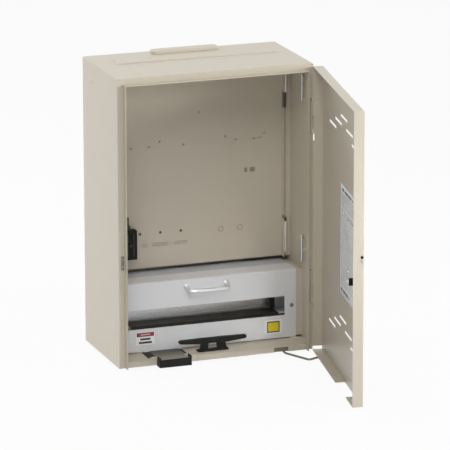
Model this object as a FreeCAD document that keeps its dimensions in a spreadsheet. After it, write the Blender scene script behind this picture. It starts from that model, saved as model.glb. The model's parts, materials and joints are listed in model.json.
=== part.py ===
import FreeCAD, Part
import os
import re
import math
import Sketcher

# Wall-mounted sheet-steel meter box with its door standing open.
# Frame: +Z up, front toward -Y, millimetres.
# Origin: centre of the back face, on the wall plane.
# Heights are given above the box's bottom edge and depths behind its front band.

os.makedirs("parts", exist_ok=True)
doc = FreeCAD.newDocument("meter_box")
V = FreeCAD.Vector

# Driving sizes
SIZES = [
    ("box_width", 480.0),
    ("box_height", 690.0),
    ("box_depth", 255.0),
    ("gauge", 1.6),
    ("bend_radius", 2.5),
    ("band_width", 15.0),
    ("lip_length", 16.0),
    ("floor_level", 13.2),
    ("rib_height", 2.5),
    ("rib_front", 144.0),
    ("rib_back", 188.0),
    ("cover_height", 7.5),
    ("cover_left", 80.0),
    ("cover_right", 86.0),
    ("door_margin", 6.0),
    ("door_thickness", 24.6),
    ("door_gap", 2.0),
    ("door_bottom", -2.0),
    ("door_top_margin", 7.0),
    ("door_angle", 80.25),
    ("door_axis_side", 4.0),
    ("door_axis_depth", 1.6),
    ("knuckle_radius", 3.5),
    ("pin_radius", 2.0),
    ("door_hinge_low", 114.4),
    ("door_hinge_drop", 166.6),
    ("knuckle_length", 41.3),
    ("slot_half", 3.4),
    ("slot_length", 76.0),
    ("slot_pitch", 62.0),
    ("vent_shift", 9.0),
    ("vent_low", 97.0),
    ("vent_drop", 117.0),
    ("vent_step", 21.0),
    ("face_depth", 64.0),
    ("face_margin", 18.0),
    ("face_bottom", 15.6),
    ("face_top", 181.8),
    ("face_return", 55.0),
    ("window_left_margin", 40.0),
    ("window_right_margin", 46.5),
    ("window_bottom", 70.5),
    ("window_top", 117.0),
    ("panel_depth", 160.0),
    ("panel_flange", 16.0),
    ("panel_bottom", 190.5),
    ("panel_top_margin", 22.0),
    ("panel_axis_depth", 143.0),
    ("post_depth", 150.0),
    ("shelf_back", 184.0),
    ("rail_level", 94.0),
    ("rail_depth", 118.3),
    ("handle_level", 164.5),
    ("handle_reach", 28.0),
    ("handle_radius", 4.6),
    ("cleat_depth", 29.0),
    ("cleat_span", 79.5),
    ("cleat_screw_half", 22.0),
    ("slide_width", 73.0),
    ("slide_out", 18.0),
    ("slide_left", 143.5),
    ("rod_radius", 2.5),
    ("rod_level", -4.9),
    ("lock_level", 284.0),
    ("lock_inset", 30.0),
    ("keeper_low", 237.0),
    ("label_left", 157.0),
    ("label_width", 184.0),
    ("label_low", 196.0),
    ("label_height", 261.0),
    ("panel_hinge_low", 203.0),
    ("panel_hinge_drop", 98.0),
    ("panel_knuckle", 39.0),
    ("front_leaf_low", 200.0),
    ("front_leaf_drop", 101.0),
    ("front_leaf_length", 64.0),
    ("latch_low", 219.0),
    ("latch_height", 70.0),
    ("rod_inset", 33.5),
]
sheet = doc.addObject("Spreadsheet::Sheet", "dims")
for row, (alias, value) in enumerate(SIZES, start=1):
    sheet.set("A%d" % row, alias)
    sheet.set("B%d" % row, "%g" % value)
    sheet.setAlias("B%d" % row, alias)
doc.recompute()


# A number that remembers how it was worked out from the cells
class Size:
    def __init__(self, value, text):
        self.value = float(value)
        self.text = text

    def __add__(self, other):
        return Size(self.value + num(other), "(%s + %s)" % (self.text, txt(other)))

    def __radd__(self, other):
        return Size(num(other) + self.value, "(%s + %s)" % (txt(other), self.text))

    def __sub__(self, other):
        return Size(self.value - num(other), "(%s - %s)" % (self.text, txt(other)))

    def __rsub__(self, other):
        return Size(num(other) - self.value, "(%s - %s)" % (txt(other), self.text))

    def __mul__(self, other):
        return Size(self.value * num(other), "(%s * %s)" % (self.text, txt(other)))

    def __rmul__(self, other):
        return Size(self.value * num(other), "(%s * %s)" % (txt(other), self.text))

    def __truediv__(self, other):
        return Size(self.value / num(other), "(%s / %s)" % (self.text, txt(other)))

    def __neg__(self):
        return Size(-self.value, "(0 - %s)" % self.text)


def num(q):
    return q.value if isinstance(q, Size) else float(q)


def txt(q):
    if isinstance(q, Size):
        return q.text
    return "%.6g" % q if q >= 0 else "(0 - %.6g)" % -q


def cell(alias):
    return Size(float(sheet.get(alias)), "dims." + alias)


W = cell("box_width")
H = cell("box_height")
D = cell("box_depth")
T = cell("gauge")


# Depth measured behind the plane of the front band
def f(depth):
    return depth - D


# Height measured above the box's bottom edge
def up(height):
    return height - H / 2


# Binding of one property to the cells
def bind(obj, prop, q):
    if isinstance(q, Size):
        obj.setExpression(prop, q.text)


# Bodies and their features
def make_body(label):
    body = doc.addObject("PartDesign::Body", label)
    body.Label = label
    return body


def origin_plane(body, role):
    for feature in body.Origin.OriginFeatures:
        if feature.Role == role:
            return feature
    raise RuntimeError("no plane " + role)


def add_loop(sk, loop):
    if loop[0] == "circle":
        cx, cy, radius = loop[1:]
        g = sk.addGeometry(Part.Circle(V(num(cx), num(cy), 0), V(0, 0, 1), num(radius)), False)
        for kind, q in (("DistanceX", cx), ("DistanceY", cy)):
            i = sk.addConstraint(Sketcher.Constraint(kind, -1, 1, g, 3, num(q)))
            bind(sk, "Constraints[%d]" % i, q)
        i = sk.addConstraint(Sketcher.Constraint("Radius", g, num(radius)))
        bind(sk, "Constraints[%d]" % i, radius)
        return
    points = loop[1]
    count = len(points)
    first = sk.GeometryCount
    for i in range(count):
        a = points[i]
        b = points[(i + 1) % count]
        sk.addGeometry(Part.LineSegment(V(num(a[0]), num(a[1]), 0), V(num(b[0]), num(b[1]), 0)), False)
    for i in range(count):
        sk.addConstraint(Sketcher.Constraint("Coincident", first + i, 2, first + (i + 1) % count, 1))
    for i, (px, py) in enumerate(points):
        for kind, q in (("DistanceX", px), ("DistanceY", py)):
            k = sk.addConstraint(Sketcher.Constraint(kind, -1, 1, first + i, 1, num(q)))
            bind(sk, "Constraints[%d]" % k, q)


def rect(x0, x1, y0, y1):
    return ("poly", [(x0, y0), (x1, y0), (x1, y1), (x0, y1)])


# A small drilled hole, drawn with few sides
def drilled(cx, cy, radius, sides=10):
    turn = 2 * math.pi / sides
    return ("poly", [(cx + radius * math.cos(turn * i), cy + radius * math.sin(turn * i)) for i in range(sides)])


def make_sketch(body, plane, start, loops, name):
    sk = body.newObject("Sketcher::SketchObject", name)
    sk.AttachmentSupport = [(origin_plane(body, plane + "_Plane"), "")]
    sk.MapMode = "FlatFace"
    offset = -start if plane == "XZ" else start
    if plane == "XY":
        offset = up(start)
    sk.AttachmentOffset = FreeCAD.Placement(V(0, 0, num(offset)), FreeCAD.Rotation())
    bind(sk, "AttachmentOffset.Base.z", offset)
    for loop in loops:
        if plane != "XY" and loop[0] == "circle":
            loop = ("circle", loop[1], up(loop[2]), loop[3])
        elif plane != "XY":
            loop = ("poly", [(a, up(b)) for a, b in loop[1]])
        add_loop(sk, loop)
    return sk


# Adds material from start to start + length along the global axis across the plane
def pad(body, plane, start, length, loops, name):
    sk = make_sketch(body, plane, start, loops, name + "_outline")
    feature = body.newObject("PartDesign::Pad", name)
    feature.Profile = sk
    feature.Length = num(length)
    bind(feature, "Length", length)
    feature.Reversed = plane == "XZ"
    return feature


# Removes material from start to start + length, and checks that some was removed
def pocket(body, plane, start, length, loops, name):
    doc.recompute()
    before = body.Shape.Volume
    sk = make_sketch(body, plane, start, loops, name + "_outline")
    feature = body.newObject("PartDesign::Pocket", name)
    feature.Profile = sk
    feature.Length = num(length)
    bind(feature, "Length", length)
    feature.Reversed = plane != "XZ"
    doc.recompute()
    if not body.Shape.Volume < before - 1e-3:
        raise RuntimeError("nothing removed by " + name)
    return feature


def round_edges(body, test, radius, name):
    doc.recompute()
    base = body.Tip
    names = ["Edge%d" % (i + 1) for i, e in enumerate(base.Shape.Edges) if test(e)]
    if not names:
        raise RuntimeError("no edges for " + name)
    feature = body.newObject("PartDesign::Fillet", name)
    feature.Base = (base, names)
    feature.Radius = num(radius)
    bind(feature, "Radius", radius)
    doc.recompute()
    return feature


def chamfer_edges(body, test, size, name):
    doc.recompute()
    base = body.Tip
    names = ["Edge%d" % (i + 1) for i, e in enumerate(base.Shape.Edges) if test(e)]
    if not names:
        raise RuntimeError("no edges for " + name)
    feature = body.newObject("PartDesign::Chamfer", name)
    feature.Base = (base, names)
    feature.Size = num(size)
    bind(feature, "Size", size)
    doc.recompute()
    return feature


# True for a straight edge lying along one axis through the two given coordinates
def edge_on(axis, **where):
    if "z" in where:
        where["z"] = where["z"] - H.value / 2

    def test(e):
        if len(e.Vertexes) != 2 or not isinstance(e.Curve, Part.Line):
            return False
        a, b = e.Vertexes[0].Point, e.Vertexes[1].Point
        for name in "xyz":
            va, vb = getattr(a, name), getattr(b, name)
            if name == axis:
                if abs(va - vb) < 1e-3:
                    return False
            elif name in where:
                if abs(va - where[name]) > 1e-3 or abs(vb - where[name]) > 1e-3:
                    return False
        return True
    return test


def any_of(*tests):
    return lambda e: any(test(e) for test in tests)


# Primitives and booleans
def box(name, x0, x1, y0, y1, z0, z1):
    b = doc.addObject("Part::Box", name)
    z0 = up(z0)
    z1 = up(z1)
    for prop, lo, hi in (("Length", x0, x1), ("Width", y0, y1), ("Height", z0, z1)):
        span = hi - lo
        setattr(b, prop, num(span))
        bind(b, prop, span)
    b.Placement = FreeCAD.Placement(V(num(x0), num(y0), num(z0)), FreeCAD.Rotation())
    for prop, q in (("x", x0), ("y", y0), ("z", z0)):
        bind(b, "Placement.Base." + prop, q)
    return b


TURN = {
    "z": FreeCAD.Rotation(),
    "y": FreeCAD.Rotation(V(1, 0, 0), -90),
    "x": FreeCAD.Rotation(V(0, 1, 0), 90),
}


def cylinder(name, axis, x, y, z, radius, length):
    c = doc.addObject("Part::Cylinder", name)
    z = up(z)
    c.Radius = num(radius)
    c.Height = num(length)
    bind(c, "Radius", radius)
    bind(c, "Height", length)
    c.Placement = FreeCAD.Placement(V(num(x), num(y), num(z)), TURN[axis])
    for prop, q in (("x", x), ("y", y), ("z", z)):
        bind(c, "Placement.Base." + prop, q)
    return c


def stud(name, axis, x, y, z, radius, length):
    c = doc.addObject("Part::Prism", name)
    z = up(z)
    c.Polygon = 12
    c.Circumradius = num(radius)
    c.Height = num(length)
    bind(c, "Circumradius", radius)
    bind(c, "Height", length)
    c.Placement = FreeCAD.Placement(V(num(x), num(y), num(z)), TURN[axis])
    for prop, q in (("x", x), ("y", y), ("z", z)):
        bind(c, "Placement.Base." + prop, q)
    return c


def fuse(label, shapes):
    o = doc.addObject("Part::MultiFuse", label)
    o.Shapes = shapes
    o.Label = label
    return o


def cut(label, base, tool):
    o = doc.addObject("Part::Cut", label)
    o.Base = base
    o.Tool = tool
    o.Label = label
    return o


def group(label, shapes):
    o = doc.addObject("Part::Compound", label)
    o.Links = shapes
    o.Label = label
    return o


# Screws of one kind: heads on a face, shanks going on behind it; small repeated ones have few sides
def screws(label, axis, sign, places, head_radius, head_height, shank_radius, shank_length):
    made = []
    bar = cylinder if len(places) == 1 else stud
    for i, (x, y, z) in enumerate(places):
        steps = {"x": (1, 0, 0), "y": (0, 1, 0), "z": (0, 0, 1)}[axis]
        head_at = [x, y, z]
        shank_at = [x, y, z]
        k = "xyz".index(axis)
        if sign > 0:
            head_at[k] = head_at[k] - head_height
        else:
            shank_at[k] = shank_at[k] - shank_length
        a = bar("%s_head_%d" % (label, i), axis, head_at[0], head_at[1], head_at[2],
                head_radius, head_height)
        b = bar("%s_shank_%d" % (label, i), axis, shank_at[0], shank_at[1], shank_at[2],
                shank_radius, shank_length)
        made.append(fuse("%s_%d" % (label, i), [a, b]))
    if len(made) > 1:
        return group(label, made)
    made[0].Label = label
    return made[0]


# A round bar bent along straight runs with rounded corners
def bent_bar(label, points, bend, radius):
    points = [V(num(x), num(y), num(up(z))) for x, y, z in points]
    edges = []
    last = points[0]
    for i in range(1, len(points) - 1):
        p = points[i]
        back = (points[i - 1] - p).normalize()
        on = (points[i + 1] - p).normalize()
        half = math.acos(max(-1.0, min(1.0, back.dot(on)))) / 2
        reach = bend / math.tan(half)
        start = p + back * reach
        end = p + on * reach
        inward = (back + on).normalize()
        centre = p + inward * (bend / math.sin(half))
        middle = centre - inward * bend
        edges.append(Part.LineSegment(last, start).toShape())
        edges.append(Part.Arc(start, middle, end).toShape())
        last = end
    edges.append(Part.LineSegment(last, points[-1]).toShape())
    spine = Part.Wire(edges)
    first = (points[1] - points[0]).normalize()
    ring = Part.Wire([Part.Circle(points[0], first, radius).toShape()])
    solid = spine.makePipeShell([ring], True, False)
    o = doc.addObject("Part::Feature", label)
    o.Label = label
    o.Shape = solid
    return o


# The door's closed frame turned about the hinge line to where the door stands
AXIS_X = W / 2 - cell("door_axis_side")
AXIS_Y = f(cell("door_axis_depth"))
ANGLE = cell("door_angle")


def swing_with_door(obj):
    a = math.radians(ANGLE.value)
    c, s = math.cos(a), math.sin(a)
    ax, ay = AXIS_X.value, AXIS_Y.value
    obj.Placement = FreeCAD.Placement(V(ax - c * ax + s * ay, ay - s * ax - c * ay, 0),
                                      FreeCAD.Rotation(V(0, 0, 1), ANGLE.value))
    turn = "(%s * 1 deg)" % ANGLE.text
    ex, ey = AXIS_X.text, AXIS_Y.text
    obj.setExpression("Placement.Base.x", "%s - cos(%s) * %s + sin(%s) * %s" % (ex, turn, ex, turn, ey))
    obj.setExpression("Placement.Base.y", "%s - sin(%s) * %s - cos(%s) * %s" % (ey, turn, ex, turn, ey))
    obj.setExpression("Placement.Rotation.Angle", turn)
    return obj


NODES = []


def node(obj):
    NODES.append(obj)
    return obj


inner = W / 2 - T
band = W / 2 - cell("band_width")
hinge_low = cell("door_hinge_low")
hinge_up = H - cell("door_hinge_drop")
knuckle = cell("knuckle_length")

# Case wrapper: top and sides folded from one sheet, with the front band and the forward lip
wrapper = make_body("case_wrapper")
pad(wrapper, "XZ", -D, D, [("poly", [(-W / 2, 0), (-W / 2, H), (W / 2, H), (W / 2, 0),
                                      (inner, 0), (inner, H - T), (-inner, H - T), (-inner, 0)])], "walls")
edge = band - T
pad(wrapper, "XZ", -D, T, [("poly", [(-W / 2, 0), (-W / 2, H), (W / 2, H), (W / 2, 0), (edge, 0),
                                      (edge, H - cell("band_width") - T),
                                      (-edge, H - cell("band_width") - T), (-edge, 0)])], "front_band")
pad(wrapper, "XZ", f(-cell("lip_length")), cell("lip_length") + T,
    [("poly", [(-band, 0), (-band, H - cell("band_width")), (band, H - cell("band_width")), (band, 0),
               (edge, 0), (edge, H - cell("band_width") - T), (-edge, H - cell("band_width") - T),
               (-edge, 0)])], "lip")
rib_left = -(W / 2 - 48)
rib_right = W / 2 - 32
rib_front = f(cell("rib_front"))
rib_back = f(cell("rib_back"))
pad(wrapper, "XY", H - T / 2, T / 2 + cell("rib_height"),
    [("poly", [(rib_left, rib_front), (rib_right, rib_front), (rib_right + 2, rib_back),
               (rib_left + 6, rib_back)])], "top_rib")
round_edges(wrapper, any_of(edge_on("x", z=(H + cell("rib_height")).value), edge_on("y", z=(H + cell("rib_height")).value)), 1.6, "rib_rounding")
pocket(wrapper, "XY", H - T - 1, cell("rib_height") + 1,
       [rect(rib_left + 8, rib_right - T, rib_front + T, rib_back - T)], "rib_hollow")
# Slots at the front right corner for the two door hinge knuckles
corner_slots = [rect(AXIS_X - 4.8, W / 2 + 4, low - 0.8, low + 2 * knuckle + 0.8)
                for low in (hinge_low, hinge_up)]
pocket(wrapper, "XZ", f(-1), 6.6, corner_slots, "hinge_slots")
# Corner reliefs of the folds and two small dimples in the left wall
pocket(wrapper, "XZ", f(-0.5), T + 1, [("circle", -(W / 2 - 3.4), H - 3.4, 1.3),
                                        ("circle", W / 2 - 3.4, H - 3.4, 1.3)], "corner_reliefs")
pocket(wrapper, "YZ", -W / 2, T / 2, [("circle", f(187), H - 46.5, 3), ("circle", f(87), 27, 3)], "side_dimples")
round_edges(wrapper, any_of(edge_on("y", x=-W.value / 2, z=H.value), edge_on("y", x=W.value / 2, z=H.value)),
            cell("bend_radius"), "top_bends")
node(wrapper)

# Case back: flat sheet welded inside the wrapper, with four fixing holes
back = make_body("case_back")
pad(back, "XZ", -T, T, [rect(-inner, inner, 0, H - T)], "sheet_back")
HOLE_X = inner - 48.4
pocket(back, "XZ", -T - 1, T + 2, [("circle", sx * HOLE_X, z, 4)
                                    for sx in (-1, 1) for z in (60, H - 60)], "fixing_holes")
node(back)

# Line of the door stay in plan, running forward and to the right
RUN = 0.4706
rod_knee = W / 2 - cell("rod_inset")


def rod_x(depth):
    return rod_knee - RUN * (depth + 67)


# Case floor: raised pan with a front flange, a slide opening and a notch for the stay rod
floor_top = cell("floor_level")
floor = make_body("case_floor")
tongue = edge - 0.3
pad(floor, "XY", 0, floor_top, [("poly", [(-inner, f(T)), (-tongue, f(T)), (-tongue, -D), (tongue, -D),
                                           (tongue, f(T)), (inner, f(T)), (inner, -T), (-inner, -T)])], "pan")
pocket(floor, "XY", -1, floor_top - T + 1, [rect(-inner + T, inner - T, f(T), -2 * T)], "under_pan")
pocket(floor, "XY", -1, floor_top - T + 1, [rect(rod_x(0) - 32, rod_x(0) + 4, f(-1), f(T + 1))], "stay_notch")
slide_l = -cell("slide_left")
slide_r = slide_l + cell("slide_width")
pocket(floor, "XY", floor_top - T - 1, T + 2,
       [("poly", [(slide_l + 5, f(20)), (slide_r - 6, f(20)), (slide_r - 6, f(68)), (slide_r + 8.5, f(68)),
                  (slide_r + 8.5, f(100)), (slide_l - 12, f(100)), (slide_l - 12, f(68)), (slide_l + 5, f(68))])],
       "slide_opening")
pocket(floor, "XY", floor_top - T - 1, T + 2, [drilled(x, f(cell("cleat_depth")), 2.3)
                                                for x in (-cell("cleat_screw_half"), cell("cleat_screw_half"))],
       "cleat_holes")
node(floor)

# Raised long round-ended cover on the top, near the back
cover = make_body("top_entry_cover")
cl = -cell("cover_left")
cr = cell("cover_right")
cov_f = f(218)
cov_b = f(248)
pad(cover, "XY", H, cell("cover_height"), [rect(cl, cr, cov_f, cov_b)], "cover_block")
round_edges(cover, any_of(edge_on("z", x=cl.value), edge_on("z", x=cr.value)), 11.0, "cover_ends")
chamfer_edges(cover, lambda e: abs(e.BoundBox.ZMin - (H / 2 + cell("cover_height")).value) < 1e-3, 2.0, "cover_slope")
pocket(cover, "XY", H - 1, cell("cover_height") - T + 1, [rect(cl + 12, cr - 12, cov_f + 4, cov_b - 4)],
       "cover_hollow")
node(cover)

# Catch plate with two rivets on the left front band
keeper_x = -(W / 2 - 10.2)
keeper_low = cell("keeper_low")
keeper_blank = box("keeper_blank", keeper_x - 3.8, keeper_x + 3.2, f(-1.4), f(0), keeper_low, keeper_low + 33)
rivet_at = (keeper_low + 7.5, keeper_low + 25.8)
keeper_drills = group("keeper_drills", [stud("keeper_drill_%d" % i, "y", keeper_x, f(-2), z, 1.2, 3.0)
                                        for i, z in enumerate(rivet_at)])
node(cut("door_keeper", keeper_blank, keeper_drills))
node(screws("keeper_rivets", "y", 1, [(keeper_x, f(-1.4), z) for z in rivet_at], 1.7, 0.5, 1.2, 1.4))


# Door hinges: a knuckle and leaf on the case, a knuckle and leaf on the door, a pin in both
def case_hinge(label, low):
    b = make_body(label)
    pad(b, "XY", low, knuckle - 0.3, [("circle", AXIS_X, AXIS_Y, cell("knuckle_radius"))], label + "_knuckle")
    pad(b, "XY", low, knuckle - 0.3, [rect(inner - T, inner, AXIS_Y, AXIS_Y + 28)], label + "_leaf")
    pocket(b, "XY", low - 1, knuckle + 2, [("circle", AXIS_X, AXIS_Y, cell("pin_radius") + 0.02)], label + "_bore")
    return node(b)


def door_hinge(label, low):
    b = make_body(label)
    z0 = low + knuckle + 0.3
    leaf = W / 2 - cell("door_margin") - T
    pad(b, "XY", z0, knuckle - 3.6, [("circle", AXIS_X, AXIS_Y, cell("knuckle_radius"))], label + "_knuckle")
    pad(b, "XY", z0, knuckle - 3.6, [("poly", [(leaf - T, f(-20)), (leaf, f(-20)), (leaf, f(-1.9)),
                                                (AXIS_X - 1, f(-1.7)), (AXIS_X - 2.8, f(0.4)),
                                                (leaf - T, f(-1.9))])], label + "_leaf")
    pocket(b, "XY", z0 - 1, knuckle, [("circle", AXIS_X, AXIS_Y, cell("pin_radius") + 0.06)], label + "_bore")
    return node(swing_with_door(b))


case_hinge("upper_case_hinge", hinge_up)
case_hinge("lower_case_hinge", hinge_low)
door_hinge("upper_door_hinge", hinge_up)
door_hinge("lower_door_hinge", hinge_low)
node(group("door_hinge_pins", [cylinder("door_pin_%d" % i, "z", AXIS_X, AXIS_Y, low + 0.5,
                                        cell("pin_radius"), 2 * knuckle - 5)
                               for i, low in enumerate((hinge_low, hinge_up))]))

# Door: folded pan, drawn closed and then swung open
door = make_body("door_panel")
dx = W / 2 - cell("door_margin")
dz0 = cell("door_bottom")
dz1 = H - cell("door_top_margin")
dy0 = f(-cell("door_gap") - cell("door_thickness"))
dy1 = f(-cell("door_gap"))
pad(door, "XZ", dy0, cell("door_thickness"), [rect(-dx, dx, dz0, dz1)], "door_block")
hood_x = [cell("slot_pitch") * (2 - i) - cell("vent_shift") for i in range(5)]
hood_rise = [0, 1, 2, 1, 0]
half_slot = cell("slot_length") / 2
for i in range(5):
    profiles = []
    for base in (cell("vent_low"), H - cell("vent_drop")):
        z = base + cell("vent_step") * hood_rise[i] + cell("slot_half")
        profiles.append(("poly", [(dy0 + 0.5, z + 1), (dy0 - 4.5, z + 1), (dy0 - 4.5, z + 2.4), (dy0 + 0.5, z + 9)]))
    pad(door, "YZ", hood_x[i] - half_slot - 3, cell("slot_length") + 6, profiles, "louvre_%d" % i)
round_edges(door, any_of(edge_on("z", x=-dx.value, y=dy0.value), edge_on("z", x=dx.value, y=dy0.value),
                         edge_on("x", z=dz1.value, y=dy0.value), edge_on("x", z=dz0.value, y=dy0.value)),
            cell("bend_radius"), "door_bends")
pocket(door, "XZ", dy0 + T, cell("door_thickness"), [rect(-dx + T, dx - T, dz0 + T, dz1 - T)], "door_hollow")
slots = []
for base in (cell("vent_low"), H - cell("vent_drop")):
    for i in range(5):
        z = base + cell("vent_step") * hood_rise[i]
        slots.append(rect(hood_x[i] - half_slot, hood_x[i] + half_slot, z - cell("slot_half"), z + cell("slot_half")))
pocket(door, "XZ", dy0 - 1, T + 2, slots, "vent_slots")
lock_x = -(dx - cell("lock_inset"))
lock_z = cell("lock_level")
pocket(door, "XZ", dy0 - 1, T + 2, [("circle", lock_x, lock_z, 9.05)], "lock_hole")
pocket(door, "XY", dz0 - 1, T + 2, [rect(slide_l - 12.5, slide_r + 32.5, dy0 + T, dy1 + 1)], "slide_notch")
pocket(door, "YZ", dx - T - 1, T + 2, [rect(dy0 + T, dy1 + 1, dz0 + T, dz0 + 10)], "corner_relief")
pocket(door, "YZ", dx - T - 1, T + 2, [rect(dy1 - 3.2, dy1 + 1, low - 17, low - 1)
                                        for low in (hinge_low, hinge_up)], "hinge_notches")
node(swing_with_door(door))

# Instruction sheet stuck inside the door
label = make_body("door_label")
pad(label, "XZ", dy0 + T, 0.25, [
    rect(-cell("label_left"), cell("label_width") - cell("label_left"), cell("label_low"),
         cell("label_low") + cell("label_height"))], "label_sheet")
node(swing_with_door(label))

# Door lock: barrel with outer flange, inner nut, turning plug, cam and cam screw
barrel = make_body("lock_barrel")
pad(barrel, "XZ", dy0, f(2.5) - dy0, [("circle", lock_x, lock_z, 9.0)], "barrel_tube")
pad(barrel, "XZ", dy0 - 3.5, 3.5, [("circle", lock_x, lock_z, 12.5)], "barrel_flange")
pocket(barrel, "XZ", dy0 - 5, f(4) - dy0 + 6, [("circle", lock_x, lock_z, 5.1)], "plug_bore")
node(swing_with_door(barrel))
nut = make_body("lock_nut")
pad(nut, "XZ", dy0 + T, 5, [("poly", [(lock_x + 14 * math.cos(math.radians(a)), lock_z + 14 * math.sin(math.radians(a)))
                                       for a in range(0, 360, 60)])], "nut_block")
pocket(nut, "XZ", dy0 + T - 1, 7, [("circle", lock_x, lock_z, 9.05)], "nut_bore")
node(swing_with_door(nut))
plug = make_body("lock_plug")
pad(plug, "XZ", dy0 - 4, f(3.0) - dy0 + 4, [("circle", lock_x, lock_z, 5.0)], "plug_block")
pocket(plug, "XZ", dy0 - 5, 7, [rect(lock_x - 0.8, lock_x + 0.8, lock_z - 3.4, lock_z + 3.4)], "key_slot")
node(swing_with_door(plug))
cam = make_body("lock_cam")
pad(cam, "XZ", f(3.0), 2.5, [("poly", [(lock_x - 7, lock_z - 7), (lock_x + 7, lock_z - 7), (lock_x + 6, lock_z + 22),
                                        (lock_x + 4, lock_z + 29), (lock_x - 4, lock_z + 29),
                                        (lock_x - 6, lock_z + 22)])], "cam_plate")
pocket(cam, "XZ", f(2), 4.5, [("circle", lock_x, lock_z, 2.1)], "cam_hole")
node(swing_with_door(cam))
cam_screw = make_body("lock_cam_screw")
pad(cam_screw, "XZ", f(5.5), 2.4, [("circle", lock_x, lock_z, 4.2)], "cam_screw_head")
pad(cam_screw, "XZ", f(3.0), 2.5, [("circle", lock_x, lock_z, 2.0)], "cam_screw_shank")
node(swing_with_door(cam_screw))
# Small plug and screw on the free edge of the door
edge_plug = make_body("door_edge_plug")
pad(edge_plug, "YZ", -dx - 1.6, 1.6, [("circle", dy0 + 4.8, 348, 3.4)], "edge_plug_head")
node(swing_with_door(edge_plug))
edge_screw = make_body("door_edge_screw")
pad(edge_screw, "YZ", -dx - 2.4, 2.4, [("circle", dy0 + 4.8, 338, 3.6)], "edge_screw_head")
node(swing_with_door(edge_screw))

# Side brackets behind the escutcheon, one on each side wall
face_y = f(cell("face_depth"))
bracket_y = face_y + T + 0.3
bracket_top = cell("face_top") - T - 0.3 - T
shelf_y = f(cell("shelf_back"))
face_x = W / 2 - cell("face_margin")
screw_x = face_x - 11.6


def side_bracket(label, side):
    b = make_body(label)
    wall = inner * side
    web = (inner - T) * side
    reach = (W / 2 - 42) * side
    low, high = (wall, reach) if side < 0 else (reach, wall)
    pad(b, "XY", 18, bracket_top - 18, [rect(low, high, bracket_y, bracket_y + T)], label + "_front")
    lo, hi = (wall, web) if side < 0 else (web, wall)
    pad(b, "XY", 18, bracket_top - 18, [rect(lo, hi, bracket_y, shelf_y)], label + "_web")
    pad(b, "XY", bracket_top - T, T, [rect(low, high, bracket_y, shelf_y)], label + "_top")
    pocket(b, "XZ", bracket_y - 1, T + 2, [("circle", screw_x * side, cell("rail_level"), 2.9)], label + "_thread")
    return node(b)


side_bracket("left_side_bracket", -1)
side_bracket("right_side_bracket", 1)

# Divider shelf lying on the two brackets
shelf = make_body("divider_shelf")
pad(shelf, "XY", bracket_top, T, [rect(-face_x, face_x, bracket_y, shelf_y)], "shelf_plate")
node(shelf)

# Escutcheon: folded cover with the breaker window
face = make_body("escutcheon")
pad(face, "XZ", face_y, T, [rect(-face_x, face_x, cell("face_bottom"), cell("face_top"))], "face_plate")
pad(face, "XY", cell("face_top") - T, T, [rect(-face_x, face_x, face_y, face_y + cell("face_return"))], "top_return")
round_edges(face, edge_on("x", y=face_y.value, z=cell("face_top").value), 2.0, "face_bend")
pocket(face, "XZ", face_y - 1, T + 2, [rect(-(W / 2 - cell("window_left_margin")), W / 2 - cell("window_right_margin"),
                                       cell("window_bottom"), cell("window_top"))], "breaker_window")
pocket(face, "XZ", face_y - 1, T + 2, [("circle", -screw_x, cell("rail_level"), 2.6),
                                        ("circle", screw_x, cell("rail_level"), 2.6)], "screw_holes")
node(face)
for side_name, sx in (("left", -1), ("right", 1)):
    node(screws("%s_captive_screw" % side_name, "y", 1, [(screw_x * sx, face_y - 0.3, cell("rail_level"))],
                4.8, 3.0, 2.5, 14.0))

# Pull handle: round bar drooping a little, with two bosses
hl = cell("handle_level")
reach = cell("handle_reach")
handle_bar = bent_bar("handle_bar", [(-52, face_y - 1.8, hl), (-52, face_y - reach, hl - 5.5),
                                     (46, face_y - reach, hl - 5.5), (46, face_y - 1.8, hl)], 11.0,
                      cell("handle_radius").value)
handle = fuse("escutcheon_handle", [handle_bar] + [
    cylinder("handle_boss_%d" % i, "y", x, face_y - 3.0, hl, 7.0, 3.0) for i, x in enumerate((-52, 46))])
node(handle)

# Two stickers on the escutcheon
node(box("left_sticker", -177, -132, face_y - 0.25, face_y, 31.5, 63))
node(box("right_sticker", 143, 187, face_y - 0.25, face_y, 27, 61))

# Locating tabs on the floor under the escutcheon's ends
tabs = group("floor_tabs", [
    box("tab_left", -(W / 2 - 16), -(W / 2 - 32), f(43), f(70), floor_top, cell("face_bottom") - 0.3),
    box("tab_right", W / 2 - 32, W / 2 - 16, f(43), f(70), floor_top, cell("face_bottom") - 0.3)])
node(tabs)

# Rail brackets carrying the mounting rail and a ledge for the black cover
rail_y = f(cell("rail_depth"))
rail_back = rail_y + 7.5


def rail_bracket(label, side):
    b = make_body(label)
    far = (inner - T) * side
    near = (W / 2 - 68) * side
    low, high = (far, near) if side < 0 else (near, far)
    flange = (inner - 2 * T) * side
    lo, hi = (far, flange) if side < 0 else (flange, far)
    pad(b, "XZ", rail_back, T, [rect(low, high, 60, 116)], label + "_plate")
    pad(b, "XY", 70.8, T, [rect(low, high, f(80), rail_back + T)], label + "_ledge")
    pad(b, "YZ", lo, T, [rect(f(90), rail_back + T, 60, 116)], label + "_flange")
    pocket(b, "XZ", rail_back - 1, T + 2, [drilled((W / 2 - 57) * side, cell("rail_level"), 2.3)], label + "_hole")
    return node(b)


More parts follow.
